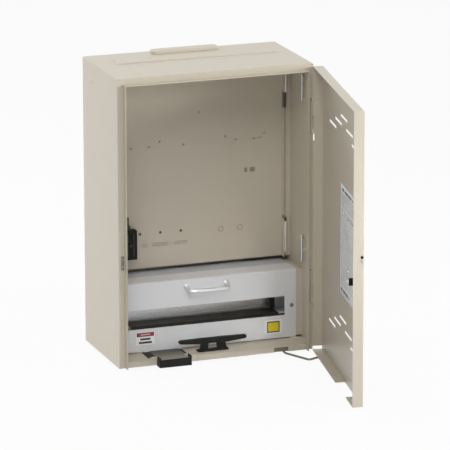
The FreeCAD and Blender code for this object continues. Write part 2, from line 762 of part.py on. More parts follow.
rail_bracket("left_rail_bracket", -1)
rail_bracket("right_rail_bracket", 1)
rail = make_body("mounting_rail")
rz = cell("rail_level")
rail_half = W / 2 - 50
pad(rail, "YZ", -rail_half, rail_half * 2,
    [("poly", [(rail_y, rz + 17.5), (rail_y + 1, rz + 17.5), (rail_y + 1, rz + 13.5), (rail_y + 7.5, rz + 13.5),
               (rail_y + 7.5, rz - 13.5), (rail_y + 1, rz - 13.5), (rail_y + 1, rz - 17.5), (rail_y, rz - 17.5),
               (rail_y, rz - 12.5), (rail_y + 6.5, rz - 12.5), (rail_y + 6.5, rz + 12.5), (rail_y, rz + 12.5)])],
    "rail_section")
pocket(rail, "XZ", rail_y + 5, 4, [drilled(x, rz, 2.3) for x in (-(W / 2 - 57), W / 2 - 57)], "rail_holes")
node(rail)
node(screws("rail_screws", "y", 1, [(-(W / 2 - 57), rail_y + 6.5, rz), (W / 2 - 57, rail_y + 6.5, rz)],
            4.2, 2.6, 2.2, 7.0))
stop_left = W / 2 - 71
stop_blank = box("rail_stop_blank", stop_left, stop_left + 12, rail_y - 20, rail_y, rz - 14, rz + 15)
node(cut("rail_end_stop", stop_blank, box("rail_stop_bite", stop_left - 5, W / 2, rail_y - 12, rail_y + 1,
                                          rz - 6, rz + 6)))

# Black cover lying across the ledges below the rail
busbar = make_body("busbar_cover")
bx0 = -(W / 2 - 55)
bx1 = W / 2 - 57.4
cover_screw_at = (bx0 + 29, bx0 + 131, bx0 + 233)
pad(busbar, "XY", 70.8 + T, 2.6, [rect(bx0, bx1, f(77.3), f(116.5))], "cover_top")
pad(busbar, "XY", 45, 25.8 + T + 2.6, [rect(bx0, bx1, f(77.3), f(79.7))], "cover_front")
pocket(busbar, "XY", 70.8, 8, [drilled(x, f(95), 1.7) for x in cover_screw_at],
       "cover_holes")
node(busbar)
node(screws("busbar_cover_screws", "z", -1, [(x, f(95), 73.4 + T) for x in cover_screw_at], 3.0, 1.3, 1.6, 6.0))

# Meter panel: flat sheet with forward flanges, drilled for meters
panel = make_body("meter_panel")
px = W / 2 - 18
py = f(cell("panel_depth"))
pz0 = cell("panel_bottom")
pz1 = H - cell("panel_top_margin")
pf = cell("panel_flange")
pad(panel, "XZ", py, T, [rect(-px, px, pz0, pz1)], "panel_sheet")
pad(panel, "XZ", py - pf, pf + T, [rect(px - T, px, pz0, pz1)], "right_flange")
pad(panel, "XZ", py - pf, pf + T, [rect(-px, -px + T, pz0, pz1)], "left_flange")
pad(panel, "XZ", py, 12, [rect(-px, px, pz0, pz0 + T)], "bottom_flange")
pad(panel, "XZ", py, 12, [rect(-px, px, pz1 - T, pz1)], "top_flange")
TOP_HOLES = [(14, 111), (-84, 174), (-25, 185.5), (-155, 185.5), (-110, 184.5), (79.5, 174.5), (106, 184.5),
             (151, 185), (166.5, 185.5), (176.5, 174)]
LOW_HOLES = [-134, -83.3, -33]
low_row = pz0 + 83.5
pocket(panel, "XZ", py - 1, T + 2, [drilled(x, pz1 - down, 2.0) for x, down in TOP_HOLES]
       + [drilled(x, low_row, 2.0) for x in LOW_HOLES], "meter_holes")
pocket(panel, "XZ", py - 0.5, T * 0.6 + 0.5, [drilled(x, low_row - 5, 7.2, 20) for x in (68, 116)]
       + [drilled(x, low_row - 5, 5.4, 20) for x in (68, 116)], "knockout_rings")
window_low = pz0 + 211.5
pocket(panel, "XZ", py - 0.5, T * 0.6 + 0.5, [rect(127, 135, window_low, window_low + 11),
                                              rect(141, 154, window_low - 1, window_low + 12)], "blind_windows")
DASHES = []
for x0, x1 in ((-104, -85), (-83, -66), (-48, -35), (-29, -16), (-128, -116)):
    for down in (25, 31):
        DASHES.append(rect(x0, x1, low_row - down - 0.8, low_row - down + 0.8))
pocket(panel, "XZ", py - 1, T + 2, DASHES, "panel_slots")
up_low = H - cell("panel_hinge_drop")
down_low = cell("panel_hinge_low")
latch_low = cell("latch_low")
bolt_low = latch_low + 30.5
pocket(panel, "YZ", px - T - 1, T + 2, [rect(py - pf - 1, py - 4, up_low - 39, up_low),
                                         rect(py - pf - 1, py - 4, down_low + 79.5, down_low + 89)], "hinge_windows")
pocket(panel, "YZ", -px - 1, T + 2, [rect(py - pf - 1, py - 7, bolt_low - 2, bolt_low + 12)], "bolt_window")
node(panel)


# Panel hinges: lift-off pairs on an angle post along the right wall
pa_x = px + 3.0
pa_y = f(cell("panel_axis_depth"))
post_y = f(cell("post_depth"))
post = make_body("panel_hinge_post")
pad(post, "XZ", post_y, T, [rect(pa_x + 2.7, inner, pz0 + 2, pz1 - 2)], "post_face")
pad(post, "YZ", inner - T, T, [rect(post_y, post_y + 25, pz0 + 2, pz1 - 2)], "post_foot")
node(post)


def panel_hinge(name, low, long):
    case_half = make_body(name + "_panel_hinge_case_half")
    pad(case_half, "XY", low, long - 0.3, [("circle", pa_x, pa_y, 2.7)], name + "_lower_barrel")
    pad(case_half, "XY", low, long - 0.3, [rect(pa_x + 1.1, pa_x + 2.7, pa_y, post_y + T)], name + "_arm")
    pocket(case_half, "XY", low - 1, long + 2, [("circle", pa_x, pa_y, 1.5)], name + "_lower_bore")
    node(case_half)
    leaf = make_body(name + "_panel_hinge_leaf")
    pad(leaf, "XY", low + long + 0.3, long - 4, [("circle", pa_x, pa_y, 2.7)], name + "_upper_barrel")
    pad(leaf, "XY", low + long + 0.3, long - 4, [rect(px, px + T, pa_y, pa_y + 15)], name + "_leaf_plate")
    pocket(leaf, "XY", low + long - 1, long, [("circle", pa_x, pa_y, 1.56)], name + "_upper_bore")
    node(leaf)


barrel_long = cell("panel_knuckle")
panel_hinge("upper", up_low, barrel_long)
panel_hinge("lower", down_low, barrel_long)
node(group("panel_hinge_pins", [cylinder("panel_pin_%d" % i, "z", pa_x, pa_y, low + 1, 1.5, barrel_long * 2 - 7)
                                for i, low in enumerate((up_low, down_low))]))


# Bare zinc hinge leaves nearer the front of the right wall
leaf_long = cell("front_leaf_length")
leaf_up = H - cell("front_leaf_drop")
leaf_low = cell("front_leaf_low")


def front_leaf(label, low):
    b = make_body(label)
    pad(b, "XY", low, leaf_long, [("circle", inner - 3.4, f(60), 2.4)], label + "_barrel")
    pad(b, "XY", low, leaf_long, [rect(inner - 3.6, inner, f(60.6), f(62.2))], label + "_arm")
    pad(b, "XY", low + 6, leaf_long - 12, [rect(inner - T, inner, f(38), f(62.2))], label + "_plate")
    pocket(b, "XY", low - 1, leaf_long + 2, [("circle", inner - 3.4, f(60), 1.3)], label + "_bore")
    pocket(b, "YZ", inner - T - 1, T + 2, [drilled(f(48), low + leaf_long / 2, 2.1)], label + "_hole")
    return node(b)


front_leaf("upper_front_hinge_leaf", leaf_up)
front_leaf("lower_front_hinge_leaf", leaf_low)
node(screws("front_leaf_screws", "x", 1, [(inner - T, f(48), low + leaf_long / 2) for low in (leaf_up, leaf_low)],
            3.6, 1.8, 2.0, T))

# Panel latch: ribbed black block on the panel, sliding bolt, catch on the left wall, wire hook
block = make_body("panel_latch_block")
bl, br = -(W / 2 - 42), -(W / 2 - 93)
latch_top = latch_low + cell("latch_height")
pad(block, "XZ", py - 20.5, 20.5, [rect(bl, br, latch_low, latch_top)], "block")
chamfer_edges(block, any_of(edge_on("z", x=br.value, y=py.value - 20.5), edge_on("x", z=latch_top.value, y=py.value - 20.5)),
              1.6, "block_slope")
for i, (foot, head) in enumerate(((latch_low + 5, bolt_low - 2.5), (bolt_low + 13.5, latch_top - 5))):
    pocket(block, "XZ", py - 21.5, 2.6, [rect(bl + 6 + 7.5 * k, bl + 9.5 + 7.5 * k, foot, head) for k in range(5)],
           "ribs_%d" % i)
pocket(block, "YZ", bl - 1, 43, [rect(py - 15.3, py - 8.2, bolt_low - 0.3, bolt_low + 10.3)], "bolt_channel")
pocket(block, "XZ", py - 21.5, 8, [rect(bl + 16.3, bl + 38.6, bolt_low + 1.2, bolt_low + 8.8)], "knob_slot")
node(block)
bolt = make_body("panel_latch_bolt")
pad(bolt, "YZ", bl - 21, 61, [rect(py - 15, py - 8.5, bolt_low, bolt_low + 10)], "bolt_bar")
pad(bolt, "XZ", py - 24, 12, [("circle", bl + 34.5, bolt_low + 5, 3.4)], "bolt_knob")
node(bolt)
catch = make_body("panel_latch_catch")
catch_low = bolt_low - 13.5
pad(catch, "XY", catch_low, 38, [rect(-inner, -(W / 2 - 15), py - 17, py - 17 + T)], "catch_plate")
pad(catch, "XY", catch_low, 38, [rect(-inner, -(inner - T), py - 17, py + 6)], "catch_foot")
node(catch)
# Flat strip hook standing up from the block
hook = make_body("panel_latch_hook")
hook_x = bl + 33
pad(hook, "XZ", py - 12, 2, [("poly", [(hook_x - 6, latch_top), (hook_x + 4, latch_top), (hook_x + 4, latch_top + 9),
                                        (hook_x, latch_top + 14), (hook_x, latch_top + 31), (hook_x - 5, latch_top + 33),
                                        (hook_x - 3.5, latch_top + 14), (hook_x - 6, latch_top + 9)])], "hook_strip")
node(hook)

# Horn cleat on the floor behind the front band, screwed on from below
cy = f(cell("cleat_depth"))
span = cell("cleat_span")
cleat_screw_at = (-cell("cleat_screw_half"), cell("cleat_screw_half"))
cleat = make_body("horn_cleat")
pad(cleat, "XZ", cy - 5.5, 11, [("poly", [(-37, floor_top), (-36, 17), (-31, 19), (-28.5, 31), (-span, 35.4), (-span, 44.6),
                                           (-30, 45.2), (30, 45.2), (span, 44.6), (span, 35.4), (31, 31), (33, 19),
                                           (37, 17), (37, floor_top)])], "cleat_body")
pad(cleat, "XZ", cy - 5.5, 11, [("circle", -span, 40, 4.6)], "left_horn_end")
pad(cleat, "XZ", cy - 5.5, 11, [("circle", span, 40, 4.6)], "right_horn_end")
pad(cleat, "XY", floor_top, 3.6, [rect(-38, 38, cy - 9, cy + 9)], "cleat_foot")
pocket(cleat, "XZ", cy - 12, 24, [("poly", [(-13, 18.5), (12, 18.5), (10, 32.5), (-11, 32.5)])], "cleat_window")
pocket(cleat, "XY", floor_top - 1, 10, [drilled(x, cy, 2.3) for x in cleat_screw_at], "cleat_screw_holes")
chamfer_edges(cleat, lambda e: min(v.Z for v in e.Vertexes) > up(44.5).value and abs(e.BoundBox.YLength) < 1e-3
              and isinstance(e.Curve, Part.Line), 1.8, "cleat_crown")
node(cleat)
node(screws("cleat_screws", "z", 1, [(x, cy, floor_top - T) for x in cleat_screw_at], 4.4, 2.4, 2.2, 9.0))

# Entry slide: flat plate over the floor opening, running in two guides, with a black end cap
cap_l = slide_l - 4.5
cap_r = slide_r + 1.5
plate_l = cap_l + 3.2
plate_r = cap_r - 3.2
plate = make_body("entry_slide")
so = -cell("slide_out")
pad(plate, "XY", floor_top + 0.3, T, [rect(plate_l, plate_r, f(so), f(70))], "slide_plate")
node(plate)
guides = []
for i, (x0, x1, edge_x) in enumerate(((plate_l - 12, plate_l - 0.4, plate_l + 4), (plate_r + 0.4, plate_r + 12,
                                                                                  plate_r - 4))):
    foot = box("guide_foot_%d" % i, x0 - 5 if i == 0 else x0, x1 if i == 0 else x1 + 5, f(1.8), f(13.5), floor_top,
               floor_top + T + 0.7)
    lo, hi = (x0, edge_x) if i == 0 else (edge_x, x1)
    lipbox = box("guide_lip_%d" % i, lo, hi, f(1.8), f(13.5), floor_top + T + 0.7, floor_top + T + 2.0)
    guides.append(fuse("guide_%d" % i, [foot, lipbox]))
node(group("slide_guides", guides))
# Black strips beside the plate, behind the guides
node(group("slide_rails", [
    box("rail_strip_0", plate_l - 19, plate_l - 0.5, f(14), f(62), floor_top, floor_top + 1.9),
    box("rail_strip_1", plate_r + 0.5, plate_r + 5.5, f(14), f(62), floor_top, floor_top + 1.9)]))
cap = make_body("slide_cap")
cap_front = f(so - 4.3)
pad(cap, "XZ", cap_front, 4.3, [rect(cap_l, cap_r, -2, 16.5)], "cap_front")
pad(cap, "XZ", cap_front, f(-1) - cap_front, [rect(cap_l, plate_l, -2, 21), rect(plate_r, cap_r, -2, 21)], "cap_sides")
round_edges(cap, edge_on("z", x=cap_l.value, y=cap_front.value), 3.0, "left_cap_corner")
round_edges(cap, edge_on("z", x=cap_r.value, y=cap_front.value), 2.0, "right_cap_corner")
node(cap)

# Stay rod running under the floor and out below the door, its collar, its guide, and a guard behind the notch
rr = cell("rod_radius")
rl = cell("rod_level")
node(bent_bar("stay_rod", [(rod_x(107), f(107), 5), (rod_x(22), f(22), 5), (rod_x(4), f(4), rl),
                           (rod_knee, f(-67), rl), (W / 2 + 6, f(-49), rl)], 7.0, rr.value))
rod_end = V(rod_x(107).value, f(107).value, up(5).value)
rod_dir = V(RUN, -1, 0).normalize()
collar = cylinder("stay_collar", "z", 0, 0, 0, 4.4, 2.6)
for prop in ("x", "y", "z"):
    collar.setExpression("Placement.Base." + prop, None)
collar.Placement = FreeCAD.Placement(rod_end - rod_dir * 2.6, FreeCAD.Rotation(V(0, 0, 1), rod_dir))
bind(collar, "Placement.Base.x", rod_x(107) - (rod_dir * 2.6).x)
bind(collar, "Placement.Base.y", f(107 - (rod_dir * 2.6).y))
bind(collar, "Placement.Base.z", up(5))
node(collar)
guide_x = rod_x(102)
guide_blank = fuse("stay_guide_blank", [
    box("stay_guide_plate", guide_x - 17, guide_x + 17, f(101), f(101) + T, -1, floor_top - T),
    box("stay_guide_foot", guide_x - 17, guide_x + 17, f(87), f(101) + T, floor_top - 2 * T, floor_top - T)])
guide_hole = cylinder("stay_guide_hole", "z", 0, 0, 0, rr + 0.4, 60)
for prop in ("x", "y", "z"):
    guide_hole.setExpression("Placement.Base." + prop, None)
guide_hole.Placement = FreeCAD.Placement(rod_end, FreeCAD.Rotation(V(0, 0, 1), rod_dir))
bind(guide_hole, "Placement.Base.x", rod_x(107))
bind(guide_hole, "Placement.Base.y", f(107))
bind(guide_hole, "Placement.Base.z", up(5))
guide = cut("stay_guide_plate_drilled", guide_blank, guide_hole)
guard_l = rod_x(0) - 34
guard_r = rod_x(0) + 6
guard = fuse("stay_guard", [
    box("stay_guard_plate", guard_l, guard_r, f(3), f(3) + T, 0.4, floor_top - T),
    box("stay_guard_foot", guard_l, guard_r, f(3), f(14), floor_top - 2 * T, floor_top - T)])
node(group("stay_guide", [guide, guard]))

doc.recompute()

# Every object must have worked, and every piece must be a valid shape
for obj in doc.Objects:
    if "Invalid" in obj.State or "Error" in obj.State:
        raise RuntimeError("failed: %s %s" % (obj.Name, obj.State))
for obj in NODES:
    shape = obj.Shape
    if shape.isNull() or not shape.isValid() or not shape.Solids:
        raise RuntimeError("bad shape: " + obj.Label)
for obj in NODES:
    obj.Shape.exportStep("parts/%s.step" % obj.Label)
print("pieces", len(NODES))
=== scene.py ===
import json
import math

import bmesh
import bpy
import numpy as np
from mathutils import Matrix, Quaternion, Vector

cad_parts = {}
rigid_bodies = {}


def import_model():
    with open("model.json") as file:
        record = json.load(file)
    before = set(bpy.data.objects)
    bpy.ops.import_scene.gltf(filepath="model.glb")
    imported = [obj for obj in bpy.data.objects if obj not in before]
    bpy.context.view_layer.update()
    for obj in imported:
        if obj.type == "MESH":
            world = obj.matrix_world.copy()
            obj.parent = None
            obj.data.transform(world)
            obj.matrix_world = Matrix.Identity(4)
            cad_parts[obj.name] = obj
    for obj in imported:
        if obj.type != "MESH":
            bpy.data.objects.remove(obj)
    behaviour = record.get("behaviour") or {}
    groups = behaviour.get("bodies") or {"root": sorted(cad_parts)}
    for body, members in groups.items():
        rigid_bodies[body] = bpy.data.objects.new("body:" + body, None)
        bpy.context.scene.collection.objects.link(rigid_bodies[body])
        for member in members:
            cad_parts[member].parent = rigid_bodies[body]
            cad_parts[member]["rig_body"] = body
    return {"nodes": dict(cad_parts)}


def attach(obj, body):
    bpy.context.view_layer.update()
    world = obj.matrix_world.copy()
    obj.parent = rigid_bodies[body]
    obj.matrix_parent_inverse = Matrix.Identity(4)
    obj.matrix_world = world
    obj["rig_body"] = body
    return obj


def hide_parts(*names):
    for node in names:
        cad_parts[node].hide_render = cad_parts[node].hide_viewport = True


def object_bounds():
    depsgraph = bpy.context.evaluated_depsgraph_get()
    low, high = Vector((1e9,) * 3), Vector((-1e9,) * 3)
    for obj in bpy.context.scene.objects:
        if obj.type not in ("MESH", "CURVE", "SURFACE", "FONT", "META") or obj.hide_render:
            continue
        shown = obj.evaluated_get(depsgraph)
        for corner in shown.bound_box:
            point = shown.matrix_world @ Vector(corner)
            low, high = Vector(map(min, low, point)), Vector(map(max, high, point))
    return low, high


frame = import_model()
cad_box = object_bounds()
nodes = frame["nodes"]

# Case
# Folded and welded sheet-steel box, stove-enamelled beige inside and out. Its brackets, floor and hinge
# halves, and the inner panel with the post that carries it, are sprayed in the same enamel.
CASE_PARTS = ("case_wrapper", "case_back", "case_floor", "left_side_bracket", "right_side_bracket",
              "meter_panel", "panel_hinge_post", "floor_tabs", "slide_guides",
              "upper_case_hinge", "lower_case_hinge", "upper_door_hinge", "lower_door_hinge")
BEIGE = (0.634, 0.577, 0.477, 1.0)
PATCHES_A_METRE = 7.0
PATCH_GLOSS = 0.12
SPECKS_A_METRE = 900.0
SPECK_START = 0.68
SPECK_FULL = 0.8
SPECK_SHARE = 0.35
SPECK_SHADE = 0.93
PEEL_A_METRE = 420.0
WAVES_A_METRE = 14.0
WAVE_HEIGHT = 1.2
SKIN_RESULTS = (("Colour", "Color"), ("Roughness", "Float"), ("Height", "Float"))


def new_group(name, inputs, outputs=SKIN_RESULTS):
    """An empty shader group with named sockets; inputs are (name, kind, value), outputs (name, kind). It
    gives back the group's tree, what the material gives it, and the results to be wired up."""
    tree = bpy.data.node_groups.new(name, "ShaderNodeTree")
    for label, kind, value in inputs:
        socket = tree.interface.new_socket(name=label, in_out="INPUT", socket_type="NodeSocket" + kind)
        socket.default_value = value
    for label, kind in outputs:
        tree.interface.new_socket(name=label, in_out="OUTPUT", socket_type="NodeSocket" + kind)
    return tree, tree.nodes.new("NodeGroupInput").outputs, tree.nodes.new("NodeGroupOutput").inputs


def put(tree, kind, settings=None, **wires):
    """A node with its settings, and each named or numbered input given a value or wired to a socket."""
    made = tree.nodes.new("ShaderNode" + kind)
    for key, value in (settings or {}).items():
        setattr(made, key, value)
    for key, value in wires.items():
        numbered = key[0] == "i" and key[1:].isdigit()
        socket = made.inputs[int(key[1:])] if numbered else made.inputs[key.replace("_", " ")]
        if isinstance(value, bpy.types.NodeSocket):
            tree.links.new(value, socket)
        else:
            socket.default_value = value
    return made


def sums(tree, operation, *values):
    """One arithmetic node; the values are sockets or numbers."""
    inputs = {"i%d" % place: value for place, value in enumerate(values)}
    return put(tree, "Math", {"operation": operation}, **inputs).outputs[0]


def level(tree, start, share, swing):
    """A start value plus a share times the swing."""
    return sums(tree, "ADD", start, sums(tree, "MULTIPLY", share, swing))


def place_on_piece(tree):
    """The place on the piece, in metres in the frame."""
    return put(tree, "TexCoord").outputs["Object"]


def noise(tree, where, scale, detail):
    """Soft noise at a place, its scale in cells a metre."""
    return put(tree, "TexNoise", Vector=where, Scale=scale, Detail=detail).outputs["Fac"]


def shaded(tree, colour, value):
    """The colour, lighter or darker by the value."""
    return put(tree, "HueSaturation", Color=colour, Value=value).outputs[0]


def blend_colours(tree, share, first, second):
    """The second colour laid over the first by the share."""
    return put(tree, "Mix", {"data_type": "RGBA"}, i0=share, i6=first, i7=second).outputs[2]


def enamel_group():
    """Sprayed enamel: the colour drifts a little over each sheet and is darker on pin-head specks, the gloss
    varies in soft patches, and two sizes of noise give the orange peel and the sheet's own waviness."""
    tree, given, result = new_group("sprayed_enamel", [
        ("Colour", "Color", BEIGE), ("Drift", "Float", 0.05),
        ("Gloss", "Float", 0.36), ("Peel", "Float", 0.25)])
    at = place_on_piece(tree)
    centred = sums(tree, "SUBTRACT", noise(tree, at, PATCHES_A_METRE, 3.0), 0.5)
    specks = put(tree, "MapRange", Value=noise(tree, at, SPECKS_A_METRE, 1.0), From_Min=SPECK_START,
                 From_Max=SPECK_FULL, To_Max=SPECK_SHARE).outputs[0]
    drifted = shaded(tree, given["Colour"], level(tree, 1.0, centred, given["Drift"]))
    darker = shaded(tree, drifted, SPECK_SHADE)
    tree.links.new(blend_colours(tree, specks, drifted, darker), result["Colour"])
    tree.links.new(level(tree, given["Gloss"], centred, PATCH_GLOSS), result["Roughness"])
    peel = sums(tree, "MULTIPLY", noise(tree, at, PEEL_A_METRE, 1.5), given["Peel"])
    tree.links.new(level(tree, peel, noise(tree, at, WAVES_A_METRE, 1.0), WAVE_HEIGHT), result["Height"])
    return tree


def finish_material(name, group, values, metallic=0.0, bump=0.0002, **sockets):
    """A surface whose group drives colour, gloss and relief; sockets are plain values on the shader."""
    material = bpy.data.materials.new(name)
    material.use_nodes = True
    tree = material.node_tree
    shader = tree.nodes["Principled BSDF"]
    skin = tree.nodes.new("ShaderNodeGroup")
    skin.name = "skin"
    skin.node_tree = group
    for key, value in values.items():
        skin.inputs[key].default_value = value
    tree.links.new(skin.outputs["Colour"], shader.inputs["Base Color"])
    tree.links.new(skin.outputs["Roughness"], shader.inputs["Roughness"])
    relief = put(tree, "Bump", Strength=0.5, Distance=bump, Height=skin.outputs["Height"])
    tree.links.new(relief.outputs["Normal"], shader.inputs["Normal"])
    shader.inputs["Metallic"].default_value = metallic
    for key, value in sockets.items():
        shader.inputs[key.replace("_", " ")].default_value = value
    return material


def dress(material, *names):
    """Gives CAD pieces a material."""
    for name in names:
        nodes[name].data.materials.clear()
        nodes[name].data.materials.append(material)


enamel_skin = enamel_group()
beige_enamel = finish_material("beige_enamel", enamel_skin, {"Colour": BEIGE})
dress(beige_enamel, *CASE_PARTS)

# Spot-weld marks
# Shallow round marks that the welding tips leave where the brackets are fixed behind the left side and the
# inner panel. The enamel covers them, so they show only as soft low swellings. Places on the box are in
# millimetres, and heads, edges and films are in metres.
CASE_DEPTH = 255.0
CASE_HALF_HEIGHT = 345.0
CASE_LEFT = -240
PANEL_FACE = 160.0
SIDE_WELDS = ((183, 644), (190, 439), (197, 213), (174, 132), (94, 158), (146, 27), (66, 44))
PANEL_WELDS = ((215, 604), (215, 268), (215, 211))
WELD_RADIUS = 0.0036
WELD_RISE = 0.0005
FORWARD = (0, -1, 0)
LEFTWARD = (-1, 0, 0)
GRID_CREASE = math.radians(50)
GRID_MERGE = 0.0000005
UPRIGHT = 0.9
HEAD_ROWS = 15
HEAD_COLUMNS = 48
SHORT_SHANK = (0.5, 0.0002)
RECESS_ARM = 0.16
RECESS_SLOPE = 0.35
RECESS_REACH = 0.62
RECESS_END = 0.08
RECESS_TURN = 0.5


def from_front(x, y, z):
    """A place in millimetres from the case's middle, front face and underside, in metres in the frame."""
    return np.stack([x, y - CASE_DEPTH, z - CASE_HALF_HEIGHT], axis=-1) / 1000.0


def once_around(count):
    """Equal steps of angle around a circle."""
    return np.linspace(0, 2 * np.pi, count, endpoint=False)


def round_heads(places, outward, radius, rise, flat=0.0, recess=0.0, shank=SHORT_SHANK):
    """Heads on a flat seat. The height is the rise times the flat share plus the rest times the root of one
    less the squared share of the radius, less a cross whose arms are smooth steps of the distance to the
    nearer of two axes. The rim drops to the seat, goes in to the shank, given as its share of the radius and
    its length, and down it."""
    outward = np.array(outward, dtype=float)
    outward /= np.linalg.norm(outward)
    aside = np.cross(outward, (0.0, 0.0, 1.0) if abs(outward[2]) < UPRIGHT else (1.0, 0.0, 0.0))
    aside /= np.linalg.norm(aside)
    upward = np.cross(outward, aside)
    share, angle = np.meshgrid(np.linspace(0, 1, HEAD_ROWS), once_around(HEAD_COLUMNS), indexing="ij")
    across, along = share * np.cos(angle), share * np.sin(angle)
    height = rise * (flat + (1 - flat) * np.sqrt(np.clip(1 - share ** 2, 0, 1)))
    first_axis = abs(across * np.cos(RECESS_TURN) + along * np.sin(RECESS_TURN))
    second_axis = abs(along * np.cos(RECESS_TURN) - across * np.sin(RECESS_TURN))
    arms = np.clip((RECESS_ARM - np.minimum(first_axis, second_axis)) / (RECESS_SLOPE * RECESS_ARM), 0, 1)
    height = height - recess * (arms * np.clip((RECESS_REACH - share) / RECESS_END, 0, 1))
    head = radius * (across[..., None] * aside + along[..., None] * upward) + height[..., None] * outward
    rim = head[-1:] - outward * height[-1:, :, None]
    neck = rim * shank[0]
    foot = neck - outward * shank[1]
    head = np.concatenate([head, rim, neck, foot, foot * 0 - outward * shank[1]])
    return np.asarray(places)[:, None, None, :] + head


def merge_points(mesh, distance, turn_outward):
    """Merges points that are nearer than the distance, and turns the faces outward where that is asked."""
    work = bmesh.new()
    work.from_mesh(mesh)
    bmesh.ops.remove_doubles(work, verts=work.verts, dist=distance)
    if turn_outward:
        bmesh.ops.recalc_face_normals(work, faces=work.faces)
    work.to_mesh(mesh)
    work.free()


def smooth_to_creases(mesh, crease):
    """Smooth shading, broken where two faces meet at more than the crease's angle."""
    mesh.shade_smooth()
    mesh.set_sharp_from_angle(angle=crease)


def grid_mesh(name, grids, around=True):
    """Grids of points, rows along and columns around, joined by quads between neighbours. The columns
    close on themselves when they go around; a row drawn in to one point closes that end."""
    grids = np.asarray(grids, dtype=float)
    count, rows, columns = grids.shape[:3]
    index = np.arange(count * rows * columns).reshape(count, rows, columns)
    right = np.roll(index, -1, axis=2) if around else index[:, :, 1:]
    left = index if around else index[:, :, :-1]
    quads = np.stack([left[:, :-1], right[:, :-1], right[:, 1:], left[:, 1:]], axis=-1).reshape(-1, 4)
    mesh = bpy.data.meshes.new(name)
    mesh.from_pydata(grids.reshape(-1, 3).tolist(), [], quads.tolist())
    if around:
        merge_points(mesh, GRID_MERGE, turn_outward=True)
    smooth_to_creases(mesh, GRID_CREASE)
    return mesh


def add_piece(name, mesh, material, body, node=None, slot=None):
    """Puts a mesh into the scene in its material, riding on a body. It stands for a CAD piece, which is
    dressed alike, or it is new. The slot is not used."""
    mesh.materials.clear()
    mesh.materials.append(material)
    piece = bpy.data.objects.new(name, mesh)
    bpy.context.scene.collection.objects.link(piece)
    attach(piece, body)
    if node:
        dress(material, node)
        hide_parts(node)
    return piece


def add_grids(name, grids, material, body, **origin):
    """Puts grids of points into the scene as one piece."""
    add_piece(name, grid_mesh(name, grids), material, body, **origin)


side_places = [from_front(CASE_LEFT, y, z) for y, z in SIDE_WELDS]
side_marks = round_heads(side_places, LEFTWARD, WELD_RADIUS, WELD_RISE)
add_grids("side_weld_marks", side_marks, beige_enamel, "case", slot="beige_paint")
panel_places = [from_front(x, PANEL_FACE, z) for x, z in PANEL_WELDS]
panel_marks = round_heads(panel_places, FORWARD, WELD_RADIUS, WELD_RISE)
add_grids("panel_weld_marks", panel_marks, beige_enamel, "panel", slot="beige_paint")

# Panel knock-outs and plugs
# Two half-punched round knock-outs with a pressed ring, three dark snap-in plugs, and the two square
# stampings lined in a darker brown. The rings' darker beige and the linings' brown are painted shade in
# the grooves and pockets. All belong to the hinged inner panel.
POCKET_SHADE_BROWN = (0.30, 0.262, 0.2, 1.0)
RING_SHADE_BEIGE = (0.40, 0.365, 0.30, 1.0)
PLUG_BROWN = (0.09, 0.078, 0.06, 1.0)
RINGS = [from_front(x, PANEL_FACE, 269) for x in (68, 116)]
RING_RADIUS = 6.2
RING_PIPE = 1.1
RING_RISE = 0.8
RING_ROOT = -0.2
RING_STEPS = 48
RING_COLUMNS = 12
PLUGS = [from_front(x, PANEL_FACE, 274) for x in (-133.7, -83.3, -32.4)]
PLUG_RADIUS = 0.0034
PLUG_RISE = 0.0008
PLUG_FLAT = 0.3
PANEL_SHEET = 1.6
POCKET_DEPTH = 0.6 * PANEL_SHEET
POCKET_FLOOR = PANEL_FACE + POCKET_DEPTH
POCKET_SPANS = ((127.2, 134.8), (141.2, 153.8))
POCKET_HEIGHT = (402.0, 412.6)
LINING_STEPS = (0, 0.35, 0.7, 0.9, 1.0)
LINING_COLUMNS = 48
LINING_POWER = 8
LINING_RISE = 0.3
LINING_EDGE = 0.5
LINING_UNDER = 0.1


def pressed_ring(middle):
    """A ring pressed up from a sheet, its sizes in millimetres: a half-oval section, as wide as the pipe and
    as high as its rise, carried around a circle; the section's lower half goes just under the sheet."""
    circle = np.append(once_around(RING_STEPS), 0.0)
    turn, side = np.meshgrid(circle, once_around(RING_COLUMNS), indexing="ij")
    reach = RING_RADIUS + RING_PIPE * np.cos(side)
    lift = np.maximum(np.sin(side), RING_ROOT) * RING_RISE
    return np.stack([reach * np.cos(turn), -lift, reach * np.sin(turn)], axis=-1) / 1000.0 + middle


def square_lining(x_low, x_high):
    """A thin square lining: rows grow from the middle to the edge as a superellipse of the eighth power,
    a little crowned, and then turn under to close."""
    share, angle = np.meshgrid(np.array(LINING_STEPS), once_around(LINING_COLUMNS), indexing="ij")
    corner = abs(np.cos(angle)) ** LINING_POWER + abs(np.sin(angle)) ** LINING_POWER
    reach = share / corner ** (1 / LINING_POWER)
    wide, tall = (x_high - x_low) / 2, (POCKET_HEIGHT[1] - POCKET_HEIGHT[0]) / 2
    x = x_low + wide + wide * reach * np.cos(angle)
    z = POCKET_HEIGHT[0] + tall + tall * reach * np.sin(angle)
    top = np.stack([x, POCKET_FLOOR - LINING_RISE * (1 - LINING_EDGE * share ** 4), z], axis=-1)
    under = top[::-1] * (1, 0, 1) + (0, POCKET_FLOOR + LINING_UNDER, 0)
    return (np.concatenate([top, under]) - (0, CASE_DEPTH, CASE_HALF_HEIGHT)) / 1000.0
